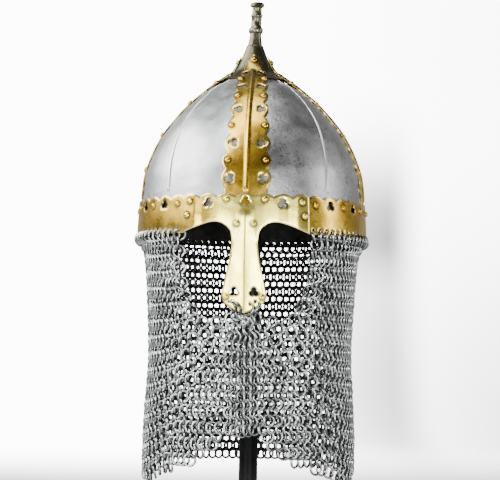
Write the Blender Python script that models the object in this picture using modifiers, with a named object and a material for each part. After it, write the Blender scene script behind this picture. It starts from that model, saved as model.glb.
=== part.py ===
"""Spired helmet on a post stand.

Four steel quarter panels meet under four pierced brass bands.  A brass brow band goes round the rim
and a brow plate with a nasal covers its open front.  A steel socket and a turned spire close the
crown, and a mail curtain hangs from the rim and from the tip of the nasal.

Frame: +Z up, the front looks along -Y, origin at the underside of the stand's base, on its axis.
Places on the helmet are given by two lengths: "across", round the helmet from a band's centre line,
and "up", along the outer profile from the rim.
"""

import math
from collections import namedtuple

import bmesh
import bpy
import numpy as np
from mathutils import Vector
from mathutils.geometry import delaunay_2d_cdt

MM = 0.001

# Helmet body, measured over the bands
DOME_HALF_WIDTH = 105.3 * MM
DOME_HALF_LENGTH = 115.8 * MM
DOME_HEIGHT = 182.0 * MM
ROUND_HEIGHT = 149.0 * MM        # the oval plan has become round here
RIM_HEIGHT = 290.0 * MM          # rim above the floor

# Sheet thicknesses and clearances
PANEL_THICKNESS = 1.2 * MM
BAND_THICKNESS = 1.1 * MM
BROW_THICKNESS = 1.2 * MM
PLATE_THICKNESS = 1.4 * MM
SOCKET_THICKNESS = 1.2 * MM
LAYER_GAP = 0.45 * MM            # between sheets that lie on each other
SOCKET_GAP = 0.8 * MM            # between the socket and the panels' tops
FIT = 0.3 * MM                   # between all other neighbours

# Panels
PANEL_FOOT = 10.5 * MM           # lower edge above the rim
PANEL_LAP = 8.0 * MM             # how far a panel reaches up inside the socket
RIB_HEIGHT = 1.6 * MM
RIB_HALF_WIDTH = 2.0 * MM
RIB_START = 40.0 * MM
RIB_END = 168.0 * MM

# Bands
BAND_HALF_WIDTH = 22.0 * MM
BAND_FOOT = 13.0 * MM
TAB_DROP = 17.0 * MM             # tab rivet below the top of the socket, along the slope
TAB_RADIUS = 6.5 * MM            # tip of the tab above its rivet
TAB_SHOULDER = 5.0 * MM          # where the tab starts above the last trefoil
TAB_WIDTH_AT_SHOULDER = 9.2 * MM
RIDGE_HEIGHT = 1.6 * MM
RIDGE_HALF_WIDTH = 2.2 * MM
SCALLOP_DEPTH = 3.2 * MM
TREFOIL_RADIUS = 4.7 * MM
TREFOIL_WAIST = 2.8 * MM

# Brow band
BROW_HEIGHT = 34.0 * MM
BROW_FIRST = 64.9 * MM           # first rivet from the centre of the front
BROW_PITCH = 17.9 * MM
BROW_LAP = 6.5 * MM              # under the brow plate
BROW_MARK_DROP = 8.5 * MM        # rivets and trefoils below the scallops' tops

# Brow plate and nasal
PLATE_HALF_WIDTH = 56.5 * MM
PLATE_PITCH = 16.6 * MM
EYE_HEIGHT = 9.1 * MM
NASAL_LENGTH = 69.8 * MM
NASAL_HALF_WIDTH = 19.3 * MM
LACING_HOLE_RADIUS = 1.1 * MM

# Rivets
RIVET_HEAD_RADIUS = 2.5 * MM
RIVET_HEAD_HEIGHT = 1.5 * MM
RIVET_SHANK_RADIUS = 1.1 * MM

# Socket and spire
SOCKET_SKIRT = 38.0 * MM         # length of the socket along its slope
SOCKET_CAP = 5.0 * MM
STEM_RADIUS = 3.0 * MM
STEM_LENGTH = 9.0 * MM
SPIRE_HEIGHT = 40.4 * MM
SPIRE_RADIUS = 6.9 * MM
SPIRE_LEAN = 2.5                 # degrees, towards +X

# Mail curtain
MAIL_LENGTH = 215.0 * MM
MAIL_THICKNESS = 4.0 * MM
MAIL_SIDE_INSET = 8.3 * MM       # inside the dome's half-width
MAIL_FRONT_OUTSET = 2.1 * MM     # before the dome's half-length
MAIL_BACK_INSET = 5.7 * MM

# Stand
BASE_RADIUS = 85.0 * MM
BASE_THICKNESS = 9.0 * MM
BASE_BEVEL = 2.0 * MM
POST_RADIUS = 8.75 * MM
REST_THICKNESS = 7.0 * MM
REST_BOSS_RADIUS = 15.0 * MM
REST_BOSS_DEPTH = 22.0 * MM
REST_GAP = 0.9 * MM              # the panels' facets lie inside their curve
REST_LOW = 146.0 * MM            # where the head rest's edge lies on the profile
REST_HIGH = 172.0 * MM

Section = namedtuple("Section", "height width")
Mark = namedtuple("Mark", "kind along width centre size")
Share = namedtuple("Share", "along across")

# Outer profile: shares of DOME_HEIGHT and DOME_HALF_WIDTH
PROFILE = [Section(*row) for row in (
    (0.0, 1.0), (0.066, 0.997), (0.168, 0.985), (0.247, 0.974), (0.332, 0.954), (0.423, 0.900),
    (0.525, 0.812), (0.604, 0.712), (0.679, 0.597), (0.736, 0.489), (0.797, 0.357), (0.843, 0.243),
    (0.876, 0.188), (0.923, 0.141), (0.960, 0.114), (1.0, 0.087))]

# A band's rivets and trefoils: shares of the way from the rim to the tab rivet and of the half-width
BAND_MARKS = [Mark(*row) for row in (
    ("trefoil", 0.238, 1.000, 0.664, 1.00), ("rivet", 0.320, 0.990, 0.755, 1.0),
    ("trefoil", 0.406, 0.920, 0.568, 1.00), ("rivet", 0.500, 0.855, 0.673, 1.0),
    ("trefoil", 0.606, 0.773, 0.468, 0.95), ("rivet", 0.699, 0.718, 0.532, 1.0),
    ("trefoil", 0.781, 0.690, 0.385, 0.85), ("rivet", 0.850, 0.650, 0.500, 1.0),
    ("trefoil", 0.915, 0.545, 0.290, 0.65))]

# Eye arch: share of the way from the nasal to the plate's end, and of EYE_HEIGHT
EYE_ARCH = [Share(*row) for row in (
    (0.857, 0.286), (0.706, 0.550), (0.547, 0.835), (0.382, 1.0), (0.250, 0.945), (0.155, 0.747),
    (0.075, 0.418), (0.022, 0.011))]

# Nasal edge: shares of NASAL_LENGTH down from the rim and of NASAL_HALF_WIDTH
NASAL_EDGE = [Share(*row) for row in (
    (0.13, 0.58), (0.29, 0.635), (0.47, 0.765), (0.66, 0.91), (0.775, 1.0), (0.82, 0.985),
    (0.868, 0.88), (0.92, 0.65), (0.97, 0.31))]

# Spire outline: shares of SPIRE_HEIGHT above the socket and of SPIRE_RADIUS
SPIRE_OUTLINE = [Section(*row) for row in (
    (1.0, 0.72), (0.965, 0.93), (0.905, 0.93), (0.885, 0.65), (0.72, 0.67), (0.69, 0.79),
    (0.66, 0.71), (0.43, 0.72), (0.37, 0.97), (0.31, 0.93), (0.275, 0.77), (0.0, 1.0))]

# Mail: angle from the front, depth of the upper edge, depth of the lower edge (shares of MAIL_LENGTH)
MailEdge = namedtuple("MailEdge", "angle top bottom")
MAIL_EDGES = [MailEdge(*row) for row in (
    (0.0, 0.340, 0.832), (6.0, 0.336, 0.850), (12.0, 0.354, 0.885), (18.0, 0.374, 0.922),
    (22.0, 0.354, 0.935), (25.5, 0.295, 0.945), (28.5, 0.235, 0.952), (30.5, 0.150, 0.958),
    (32.0, 0.060, 0.962), (34.0, 0.0, 0.967), (45.0, 0.0, 0.985), (60.0, 0.0, 1.0),
    (180.0, 0.0, 1.0))]
# Mail: depth and girth, as shares of MAIL_LENGTH and of its half-width and half-length
MAIL_SECTIONS = [Section(*row) for row in (
    (0.0, 1.065), (0.07, 1.005), (0.26, 0.975), (0.70, 0.99), (1.0, 1.0))]


def smooth_curve(points, count):
    """Even points on a smooth curve through the given ones (Catmull-Rom)."""
    pts = np.array(points, float)
    pts = np.vstack([2 * pts[0] - pts[1], pts, 2 * pts[-1] - pts[-2]])
    out = []
    for a, b, c, d in zip(pts[:-3], pts[1:-2], pts[2:-1], pts[3:]):
        for t in np.linspace(0, 1, count, endpoint=False):
            out.append(0.5 * (2 * b + (c - a) * t + (2 * a - 5 * b + 4 * c - d) * t * t
                              + (3 * b - a - 3 * c + d) * t ** 3))
    out.append(pts[-2])
    return np.array(out)


CURVE = smooth_curve([(s.width * DOME_HALF_WIDTH, s.height * DOME_HEIGHT) for s in PROFILE], 24)
CURVE_UP = np.concatenate([[0], np.cumsum(np.linalg.norm(np.diff(CURVE, axis=0), axis=1))])
PROFILE_LENGTH = float(CURVE_UP[-1])


def profile(up):
    """Half-width and height of the outer profile; it runs straight down below the rim."""
    radius = np.interp(up, CURVE_UP, CURVE[:, 0])
    height = np.interp(up, CURVE_UP, CURVE[:, 1]) + np.minimum(up, 0.0)
    return radius, height


def skin_base(angle, up):
    angle, up = np.broadcast_arrays(np.asarray(angle, float), np.asarray(up, float))
    radius, height = profile(up)
    oval = DOME_HALF_LENGTH / DOME_HALF_WIDTH - 1.0
    stretch = 1.0 + oval * (1.0 - np.clip(height / ROUND_HEIGHT, 0.0, 1.0) ** 2)
    return np.stack([radius * np.sin(angle), -stretch * radius * np.cos(angle),
                     RIM_HEIGHT + height], -1)


def skin_normal(angle, up):
    step = 1.5 * MM
    across = skin_base(angle + 0.01, up) - skin_base(angle - 0.01, up)
    along = skin_base(angle, up + step) - skin_base(angle, up - step)
    normal = np.cross(across, along)
    return normal / np.linalg.norm(normal, axis=-1, keepdims=True)


def skin(angle, up, lift):
    """Point on the helmet: angle from the front towards +X, length up the profile, lift off it."""
    angle, up, lift = np.broadcast_arrays(angle, up, lift)
    return skin_base(angle, up) + skin_normal(angle, up) * np.asarray(lift)[..., None]


def turn_rate(angle, up):
    """Length round the helmet for one radian."""
    step = skin_base(angle + 0.005, up) - skin_base(angle - 0.005, up)
    return np.linalg.norm(step, axis=-1) / 0.01


RIM_ANGLES = np.linspace(0.0, 2 * math.pi, 1441)
RIM_STEPS = np.linalg.norm(np.diff(skin_base(RIM_ANGLES, 12 * MM), axis=0), axis=1)
RIM_LENGTHS = np.concatenate([[0], np.cumsum(RIM_STEPS)])
HALF_RIM = float(RIM_LENGTHS[-1]) / 2


def rim_angle(across):
    """Angle of a length round the rim from the centre of the front."""
    across = np.asarray(across, float)
    return np.sign(across) * np.interp(np.abs(across), RIM_LENGTHS, RIM_ANGLES)


def ease(value):
    value = np.clip(value, 0.0, 1.0)
    return value * value * (3 - 2 * value)


def ridge(across):
    return RIDGE_HEIGHT * np.clip(1 - np.abs(across) / RIDGE_HALF_WIDTH, 0, 1)


# Depths below the bands' outer face
PANEL_DEPTH = BAND_THICKNESS + LAYER_GAP
RIVET_HOLE_RADIUS = (RIVET_SHANK_RADIUS + FIT) / math.cos(math.pi / 6)
SOCKET_DEPTH = BAND_THICKNESS + LAYER_GAP
PANEL_TOP_DEPTH = SOCKET_DEPTH + SOCKET_THICKNESS + SOCKET_GAP
SOCKET_FOOT = PROFILE_LENGTH - SOCKET_SKIRT
PANEL_HEAD = SOCKET_FOOT + PANEL_LAP
TAB_UP = PROFILE_LENGTH - TAB_DROP
BROW_LIFT = LAYER_GAP + BROW_THICKNESS
PLATE_LOW_LIFT = LAYER_GAP + PLATE_THICKNESS
PLATE_HIGH_LIFT = BROW_LIFT + LAYER_GAP + PLATE_THICKNESS
RIDGE_TOP = TAB_UP - TAB_RADIUS - 4 * MM
RIDGE_FOOT = BROW_HEIGHT + 1.5 * MM
KEEL_TOP = BROW_HEIGHT - BROW_MARK_DROP - TREFOIL_RADIUS


def panel_depth(up):
    """Panels dip inwards to pass under the socket."""
    return PANEL_DEPTH + (PANEL_TOP_DEPTH - PANEL_DEPTH) * ease((up - SOCKET_FOOT + 18 * MM) / (14 * MM))


def plate_lift(across):
    """The brow plate steps up where it laps over the ends of the brow band."""
    step = ease((np.abs(across) - PLATE_HALF_WIDTH + BROW_LAP + 13 * MM) / (10 * MM))
    return PLATE_LOW_LIFT + (PLATE_HIGH_LIFT - PLATE_LOW_LIFT) * step


def keel(across, up):
    """Ridge of the brow plate below its middle trefoil, opening into a broad keel down the nasal."""
    broad = ease((6 * MM - up) / (30 * MM))
    half = RIDGE_HALF_WIDTH + (0.5 * NASAL_HALF_WIDTH - RIDGE_HALF_WIDTH) * broad
    start = ease((KEEL_TOP - up) / (3 * MM))
    return RIDGE_HEIGHT * start * np.clip(1 - np.abs(across) / half, 0, 1), half


def material(name, colour, roughness, metallic):
    mat = bpy.data.materials.new(name)
    mat.use_nodes = True
    shader = mat.node_tree.nodes["Principled BSDF"]
    shader.inputs["Base Color"].default_value = (*colour, 1.0)
    shader.inputs["Roughness"].default_value = roughness
    shader.inputs["Metallic"].default_value = metallic
    return mat


def add_object(name, mesh, mat, collection):
    obj = bpy.data.objects.new(name, mesh)
    collection.objects.link(obj)
    if mat is not None and not mesh.materials:
        mesh.materials.append(mat)
    return obj


def solidify(obj, thickness):
    mod = obj.modifiers.new("Thickness", "SOLIDIFY")
    mod.thickness = thickness
    mod.offset = -1.0
    mod.use_even_offset = False
    return mod


def mesh_from(name, verts, faces):
    mesh = bpy.data.meshes.new(name)
    mesh.from_pydata([tuple(v) for v in verts], [], faces)
    mesh.update()
    return mesh


def polygon(centre, radius, sides, turn=0.0):
    return [(centre[0] + radius * math.cos(turn + 2 * math.pi * i / sides),
             centre[1] + radius * math.sin(turn + 2 * math.pi * i / sides)) for i in range(sides)]


def trefoil(centre, pointing, size):
    """Three-lobed opening whose single lobe points the given way (radians)."""
    loop = []
    for lobe in range(3):
        middle = pointing + lobe * 2 * math.pi / 3
        for turn, radius in ((-0.5, TREFOIL_RADIUS * size), (0.5, TREFOIL_RADIUS * size),
                             (math.pi / 3, TREFOIL_WAIST * size)):
            loop.append((centre[0] + radius * math.cos(middle + turn),
                         centre[1] + radius * math.sin(middle + turn)))
    return loop


def inside(points, loop):
    """Which of the points lie inside a closed flat loop."""
    loop = np.array(loop)
    hit = np.zeros(len(points), bool)
    for (x0, y0), (x1, y1) in zip(loop, np.roll(loop, -1, axis=0)):
        level = (y0 > points[:, 1]) != (y1 > points[:, 1])
        reach = x0 + (points[:, 1] - y0) * (x1 - x0) / (y1 - y0 if y1 != y0 else 1.0)
        hit ^= level & (points[:, 0] < reach)
    return hit


def flat_sheet(name, outline, holes, lines, wrap, thickness, mat, collection):
    """A flat pattern with openings, filled, wrapped onto the helmet and thickened inwards."""
    points, edges = [], []
    for loop in [outline] + holes:
        first = len(points)
        points += loop
        edges += [(first + i, first + (i + 1) % len(loop)) for i in range(len(loop))]
    for line in lines:
        first = len(points)
        points += line
        edges += [(first + i, first + i + 1) for i in range(len(line) - 1)]
    flat, _, faces, _, _, _ = delaunay_2d_cdt([Vector(p) for p in points], edges, [], 2, 1e-7)
    flat = np.array([tuple(p) for p in flat])
    faces = [tuple(f) for f in faces]
    a, b, c = (flat[[f[k] for f in faces]] for k in range(3))
    area = np.cross(b - a, c - a)
    middles = (a + b + c) / 3
    keep = ~np.any([inside(middles, hole) for hole in holes], axis=0)
    faces = [f if s > 0 else f[::-1] for f, s, k in zip(faces, area, keep) if k]
    obj = add_object(name, mesh_from(name, wrap(flat[:, 0], flat[:, 1]), faces), mat, collection)
    solidify(obj, thickness)
    return obj


def scallops(marks, valleys, tops):
    """Edge of lobes: marks and tops give each lobe's place and reach, valleys the dips between."""
    edge = []
    for i, (place, top) in enumerate(zip(marks, tops)):
        (start, low), (end, high) = valleys[i], valleys[i + 1]
        edge.append((start, low))
        for t in (-0.5, 0.0, 0.5):
            dip, side = (low, start) if t < 0 else (high, end)
            edge.append((place + abs(t) * (side - place), dip + (top - dip) * (1 - abs(t) ** 1.8)))
    return edge


def band_rows():
    """Marks of a band as lengths: kind, place up, lobe half-width, place across, size."""
    return [(m.kind, m.along * TAB_UP, m.width * BAND_HALF_WIDTH, m.centre * BAND_HALF_WIDTH, m.size)
            for m in BAND_MARKS]


def band_edge():
    rows = band_rows()
    places = [r[1] for r in rows]
    widths = [r[2] for r in rows]
    valleys = [(places[0] - 0.5 * (places[1] - places[0]), widths[0] - SCALLOP_DEPTH)]
    for i in range(len(rows) - 1):
        valleys.append(((places[i] + places[i + 1]) / 2, min(widths[i:i + 2]) - SCALLOP_DEPTH))
    start, wide = places[-1] + TAB_SHOULDER, TAB_WIDTH_AT_SHOULDER
    valleys.append((start, wide))
    edge = [(BAND_FOOT, valleys[0][1])] + scallops(places, valleys, widths)
    for share in (0.0, 0.30, 0.58, 0.80, 0.93):
        edge.append((start + share * (TAB_UP + TAB_RADIUS - start), wide * (1 - share ** 1.7) ** 0.8))
    return edge


def band(name, side_angle, mat, collection, rivets_apart):
    """One of the four bands; its rivet holes stay closed where the heads are one with it."""
    def wrap(across, up):
        crest = ridge(across) * ease((RIDGE_TOP - up) / (3 * MM)) * ease((up - RIDGE_FOOT) / (3 * MM))
        return skin(side_angle + across / turn_rate(side_angle, up), up, crest)

    right = band_edge()
    right = [(w, s) for s, w in right]
    outline = right + [(0.0, TAB_UP + TAB_RADIUS)] + [(-w, s) for w, s in reversed(right)]
    outline += [(share * right[0][0], BAND_FOOT) for share in (-0.5, 0.0, 0.5)]
    holes, heads, inner = [], [], []
    for kind, up, _, across, size in band_rows():
        for side in (1, -1):
            if kind == "trefoil":
                holes.append(trefoil((side * across, up), 0.0 if side > 0 else math.pi, size))
            elif rivets_apart:
                holes.append(polygon((side * across, up), RIVET_HOLE_RADIUS, 6))
            else:
                inner.append([(side * across, up)])
            if kind == "rivet":
                heads.append((side * across, up))
    for width, up in right[5::4]:
        if width > 10 * MM:
            inner += [[(side * 0.5 * width, up)] for side in (1, -1)]
    inner += [[(side * 0.5 * right[0][0], BAND_FOOT + 0.5 * (right[1][1] - BAND_FOOT))] for side in (1, -1)]
    holes.append(polygon((0.0, TAB_UP), RIVET_HOLE_RADIUS, 6))
    count = max(int((RIDGE_TOP - RIDGE_FOOT) / (12 * MM)), 2)
    ups = np.concatenate([[RIDGE_FOOT], np.linspace(RIDGE_FOOT + 3 * MM, RIDGE_TOP, count)])
    lines = inner + [[(x, float(s)) for s in ups] for x in (-RIDGE_HALF_WIDTH, 0.0, RIDGE_HALF_WIDTH)]
    lines.append([(0.0, 0.5 * (BAND_FOOT + RIDGE_FOOT))])
    obj = flat_sheet(name, outline, holes, lines, wrap, BAND_THICKNESS, mat, collection)

    def seat(across, up):
        angle = side_angle + across / turn_rate(side_angle, up)
        return skin(angle, up, 0.0), skin_normal(angle, up)
    return obj, [seat(x, s) for x, s in heads], seat(0.0, TAB_UP)


def brow_band(mat, collection):
    lobes = max(int(round((HALF_RIM - BROW_FIRST) / BROW_PITCH)), 1)
    pitch = (HALF_RIM - BROW_FIRST) / lobes
    places = [BROW_FIRST + i * pitch for i in range(2 * lobes + 1)]
    low = BROW_HEIGHT - SCALLOP_DEPTH
    valleys = [(p - pitch / 2, low) for p in places] + [(places[-1] + pitch / 2, low)]
    start = PLATE_HALF_WIDTH - BROW_LAP
    end = 2 * HALF_RIM - start
    top = [(start, low)] + scallops(places, valleys, [BROW_HEIGHT] * len(places)) + [valleys[-1], (end, low)]
    clear = PLATE_HALF_WIDTH + FIT
    foot = [(end, EYE_HEIGHT)] + [(float(x), 0.0) for x in np.linspace(2 * HALF_RIM - clear, clear, 40)]
    foot.append((start, EYE_HEIGHT))
    mark_up = BROW_HEIGHT - BROW_MARK_DROP
    holes = [trefoil((p, mark_up), math.pi / 2, 1.0) for p in places[1::2]]
    middle = [[(float(x), 0.4 * mark_up)] for x in np.linspace(start + 12 * MM, end - 12 * MM, 38)]

    def wrap(across, up):
        return skin(rim_angle(across), up, BROW_LIFT)
    obj = flat_sheet("brow_band", top + foot, holes, middle, wrap, BROW_THICKNESS, mat, collection)
    heads = [(skin(rim_angle(p), mark_up, BROW_LIFT), skin_normal(rim_angle(p), mark_up))
             for p in places[0::2]]
    return obj, heads


def nasal_plate(mat, collection):
    root = NASAL_EDGE[0].across * NASAL_HALF_WIDTH
    low = BROW_HEIGHT - SCALLOP_DEPTH
    places = [i * PLATE_PITCH for i in range(4)]
    right = [(0.0, BROW_HEIGHT), (PLATE_PITCH / 4, low + 0.713 * SCALLOP_DEPTH)]
    for p in places[1:]:
        right.append((p - PLATE_PITCH / 2, low))
        right += [(p + t * PLATE_PITCH, low + SCALLOP_DEPTH * (1 - abs(2 * t) ** 1.8)) for t in (-0.25, 0.0, 0.25)]
    right = [p for p in right if p[0] < PLATE_HALF_WIDTH - 1 * MM]
    right += [(PLATE_HALF_WIDTH, low + 0.4 * SCALLOP_DEPTH), (PLATE_HALF_WIDTH, 0.5 * BROW_HEIGHT),
              (PLATE_HALF_WIDTH, 0.0)]
    right += [(root + s.along * (PLATE_HALF_WIDTH - root), s.across * EYE_HEIGHT) for s in EYE_ARCH]
    right += [(s.across * NASAL_HALF_WIDTH, -s.along * NASAL_LENGTH) for s in NASAL_EDGE]
    outline = right + [(0.0, -NASAL_LENGTH)] + [(-x, s) for x, s in reversed(right[1:])]

    mark_up = BROW_HEIGHT - BROW_MARK_DROP
    rivets = []
    for side in (1, -1):
        rivets += [(side * places[1], mark_up + 3.0 * MM), (side * places[3], mark_up + 1.5 * MM),
                   (side * (PLATE_HALF_WIDTH - 4.2 * MM), 0.44 * BROW_HEIGHT),
                   (side * 0.63 * root, 0.21 * BROW_HEIGHT),
                   (side * 0.80 * NASAL_HALF_WIDTH, -0.805 * NASAL_LENGTH)]
    holes = [polygon(p, RIVET_HOLE_RADIUS, 6) for p in rivets]
    holes.append(trefoil((0.0, mark_up + 1.5 * MM), math.pi / 2, 1.0))
    for side in (1, -1):
        holes.append(trefoil((side * places[2], mark_up), math.pi / 2, 1.0))
        holes.append(trefoil((side * 0.43 * NASAL_HALF_WIDTH, -0.738 * NASAL_LENGTH), math.pi / 2, 0.9))
        for x, s in ((0.50, 0.853), (0.275, 0.885)):
            holes.append(polygon((side * x * NASAL_HALF_WIDTH, -s * NASAL_LENGTH), LACING_HOLE_RADIUS, 6))
    lines = []
    ups = [KEEL_TOP, KEEL_TOP - 3 * MM, 0.3 * BROW_HEIGHT, 0.0] + [-f * NASAL_LENGTH for f in (0.2, 0.4, 0.6, 0.8, 0.95)]
    for side in (-1, 0, 1):
        lines.append([(side * float(keel(0.0, s)[1]) if s > -0.62 * NASAL_LENGTH else side * 0.08 * NASAL_HALF_WIDTH, s)
                      for s in ups if side == 0 or s > -0.7 * NASAL_LENGTH])
    step_from = PLATE_HALF_WIDTH - BROW_LAP - 13 * MM
    for side in (-1, 1):
        lines += [[(side * (step_from + dx), h * BROW_HEIGHT) for h in (0.42, 0.60)] for dx in (0.0, 10 * MM)]
        lines += [[(side * 24 * MM, 0.42 * BROW_HEIGHT)]]

    def wrap(across, up):
        return skin(rim_angle(across), up, plate_lift(across) + keel(across, up)[0])
    obj = flat_sheet("nasal_plate", outline, holes, lines, wrap, PLATE_THICKNESS, mat, collection)
    seats = [(skin(rim_angle(x), s, plate_lift(x) + keel(x, s)[0]), skin_normal(rim_angle(x), s))
             for x, s in rivets]
    return obj, seats


def skull_panel(name, start_angle, mat, collection):
    """Quarter panel as a grid whose middle columns follow the embossed rib."""
    ups = np.concatenate([[PANEL_FOOT, 0.5 * (PANEL_FOOT + RIB_START), RIB_START - 1.5 * MM, RIB_START],
                          np.linspace(RIB_START, RIB_END, 8)[1:],
                          [0.5 * (RIB_END + PANEL_HEAD), PANEL_HEAD]])
    rows = []
    for up in ups:
        rate = float(turn_rate(start_angle + math.pi / 4, up))
        edge = 0.5 * (FIT + LAYER_GAP) / float(turn_rate(start_angle, up))
        mirrored = math.cos(start_angle + math.pi / 4) * math.sin(start_angle + math.pi / 4) < 0
        centre = math.radians(44.0 - 6.0 * float(ease((up - RIB_START) / (RIB_END - RIB_START))) )
        centre = start_angle + (math.pi / 2 - centre if mirrored else centre)
        fade = float(ease((up - RIB_START + 1.2 * MM) / (1 * MM)) * (1 - 0.9 * ease((up - RIB_START) / (RIB_END - RIB_START))))
        wide = RIB_HALF_WIDTH * (0.45 + 0.55 * (1 - float(ease((up - RIB_START) / (RIB_END - RIB_START)))))
        first, last = start_angle + edge, start_angle + math.pi / 2 - edge
        left = np.linspace(first, centre - wide / rate, 5)
        right = np.linspace(centre + wide / rate, last, 5)
        angles = np.concatenate([left, [centre - 0.45 * wide / rate, centre + 0.45 * wide / rate], right])
        lift = np.zeros(len(angles))
        lift[5:7] = RIB_HEIGHT * fade
        rows.append(skin(angles, up, lift - panel_depth(up)))
    columns = len(rows[0])
    verts = np.concatenate(rows)
    faces = [(r * columns + c, r * columns + c + 1, (r + 1) * columns + c + 1, (r + 1) * columns + c)
             for r in range(len(rows) - 1) for c in range(columns - 1)]
    obj = add_object(name, mesh_from(name, verts, faces), mat, collection)
    solidify(obj, PANEL_THICKNESS)
    return obj


def turned(name, outline, steps, mat, collection, closed=False):
    """Turned shape: an outline in the XZ plane, top to bottom on its outer side, with Screw."""
    mesh = bpy.data.meshes.new(name)
    edges = [(i, i + 1) for i in range(len(outline) - 1)]
    if closed:
        edges.append((len(outline) - 1, 0))
    mesh.from_pydata([(float(r), 0.0, float(z)) for r, z in outline], edges, [])
    obj = add_object(name, mesh, mat, collection)
    mod = obj.modifiers.new("Turn", "SCREW")
    mod.steps = steps
    mod.render_steps = steps
    mod.use_merge_vertices = True
    mod.merge_threshold = 0.00001
    mod.use_smooth_shade = True
    return obj


def offset_profile(up, depth):
    """Point of the profile in the XZ plane, moved in by a depth."""
    point = skin(math.pi / 2, up, -depth)
    return float(point[0]), float(point[2])


def finial_socket(mat, collection):
    top = RIM_HEIGHT + DOME_HEIGHT - FIT
    ups = np.linspace(PROFILE_LENGTH - 1 * MM, SOCKET_FOOT, 7)
    outer = [offset_profile(u, SOCKET_DEPTH) for u in ups]
    outer = [(outer[0][0], top)] + [p for p in outer if p[1] < top - 1 * MM]
    inner = [offset_profile(u, SOCKET_DEPTH + SOCKET_THICKNESS) for u in ups[::-1]]
    inner = [p for p in inner if p[1] < top - SOCKET_CAP]
    bore = STEM_RADIUS + FIT
    inner.append((max(inner[-1][0] - 0.5 * MM, bore + 0.3 * MM), top - SOCKET_CAP))
    return turned("finial_socket", outer + inner + [(bore, top - SOCKET_CAP), (bore, top)], 18,
                  mat, collection, closed=True)


def finial_spire(mat, collection):
    foot = RIM_HEIGHT + DOME_HEIGHT
    outline = [(0.0, foot + SPIRE_HEIGHT)]
    outline += [(s.width * SPIRE_RADIUS, foot + s.height * SPIRE_HEIGHT) for s in SPIRE_OUTLINE]
    outline += [(STEM_RADIUS, foot), (STEM_RADIUS, foot - STEM_LENGTH), (0.0, foot - STEM_LENGTH)]
    obj = turned("finial_spire", outline, 16, mat, collection)
    mesh = bpy.data.meshes.new_from_object(obj.evaluated_get(bpy.context.evaluated_depsgraph_get()))
    obj.modifiers.clear()
    for vert in mesh.vertices:
        vert.co.x += max(vert.co.z - foot, 0.0) * math.tan(math.radians(SPIRE_LEAN))
    obj.data = mesh
    mesh.name = "finial_spire"
    return obj


def rivet_outline(shank):
    return [(0.0, RIVET_HEAD_HEIGHT), (0.66 * RIVET_HEAD_RADIUS, 0.72 * RIVET_HEAD_HEIGHT),
            (RIVET_HEAD_RADIUS, 0.0), (RIVET_SHANK_RADIUS, 0.0), (RIVET_SHANK_RADIUS, -shank), (0.0, -shank)]


def rivets(prefix, seats, thickness, mat, collection):
    """Rivets of one piece: each its own object, all sharing one turned mesh."""
    shared = None
    for number, (point, normal) in enumerate(seats, 1):
        name = f"{prefix}_rivet_{number}"
        if shared is None:
            obj = turned(name, rivet_outline(FIT + thickness), 6, mat, collection)
            shared = obj.data
        else:
            obj = add_object(name, shared, mat, collection)
            mod = obj.modifiers.new("Turn", "SCREW")
            mod.steps = mod.render_steps = 6
            mod.use_merge_vertices = True
            mod.merge_threshold = 0.00001
            mod.use_smooth_shade = True
        normal = Vector(normal)
        obj.location = Vector(point) + normal * FIT
        obj.rotation_mode = "QUATERNION"
        obj.rotation_quaternion = normal.to_track_quat("Z", "Y")


def fuse_heads(obj, seats, cutters):
    """Rivet heads that are one with their band."""
    bm = bmesh.new()
    for point, normal in seats:
        normal = Vector(normal)
        depth = RIVET_HEAD_HEIGHT + 0.5 * MM
        turn = normal.to_track_quat("Z", "Y").to_matrix().to_4x4()
        turn.translation = Vector(point) + normal * (0.5 * depth - 0.5 * MM)
        bmesh.ops.create_cone(bm, cap_ends=True, segments=6, radius1=1.08 * RIVET_HEAD_RADIUS,
                              radius2=0.55 * RIVET_HEAD_RADIUS, depth=depth, matrix=turn)
    mesh = bpy.data.meshes.new(obj.name + "_heads")
    bm.to_mesh(mesh)
    bm.free()
    heads = add_object(obj.name + "_heads", mesh, None, cutters)
    heads.hide_render = True
    heads.display_type = "WIRE"
    mod = obj.modifiers.new("Rivet heads", "BOOLEAN")
    mod.operation = "UNION"
    mod.solver = "EXACT"
    mod.object = heads


def mail_curtain(mat, collection):
    """Closed wall of the mail's shape, hung from the rim and the nasal."""
    knots = [row.angle for row in MAIL_EDGES]
    right = knots[:-1] + [float(a) for a in np.arange(knots[-2] + 15, knots[-1] + 1, 15)]
    angles = [-a for a in right[-2:0:-1]] + right
    front, back = DOME_HALF_LENGTH + MAIL_FRONT_OUTSET, DOME_HALF_LENGTH - MAIL_BACK_INSET
    top_edge = RIM_HEIGHT - FIT - 0.25 * MAIL_THICKNESS
    rows = []
    for share in np.linspace(0, 1, 7):
        ring = []
        for angle in angles:
            top = np.interp(abs(angle), knots, [r.top for r in MAIL_EDGES])
            bottom = np.interp(abs(angle), knots, [r.bottom for r in MAIL_EDGES])
            depth = top + (bottom - top) * share
            girth = np.interp(depth, [s.height for s in MAIL_SECTIONS], [s.width for s in MAIL_SECTIONS])
            a = math.radians(angle)
            reach = 0.5 * (front + back) + 0.5 * (front - back) * math.cos(a)
            ring.append((girth * (DOME_HALF_WIDTH - MAIL_SIDE_INSET) * math.sin(a),
                         -girth * reach * math.cos(a), top_edge - depth * MAIL_LENGTH))
        rows.append(ring)
    columns = len(angles)
    verts = [p for ring in rows for p in ring]
    faces = [(r * columns + c, (r + 1) * columns + c, (r + 1) * columns + (c + 1) % columns, r * columns + (c + 1) % columns)
             for r in range(len(rows) - 1) for c in range(columns)]
    obj = add_object("mail_curtain", mesh_from("mail_curtain", verts, faces), mat, collection)
    solidify(obj, MAIL_THICKNESS).offset = 0.0
    return obj


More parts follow.
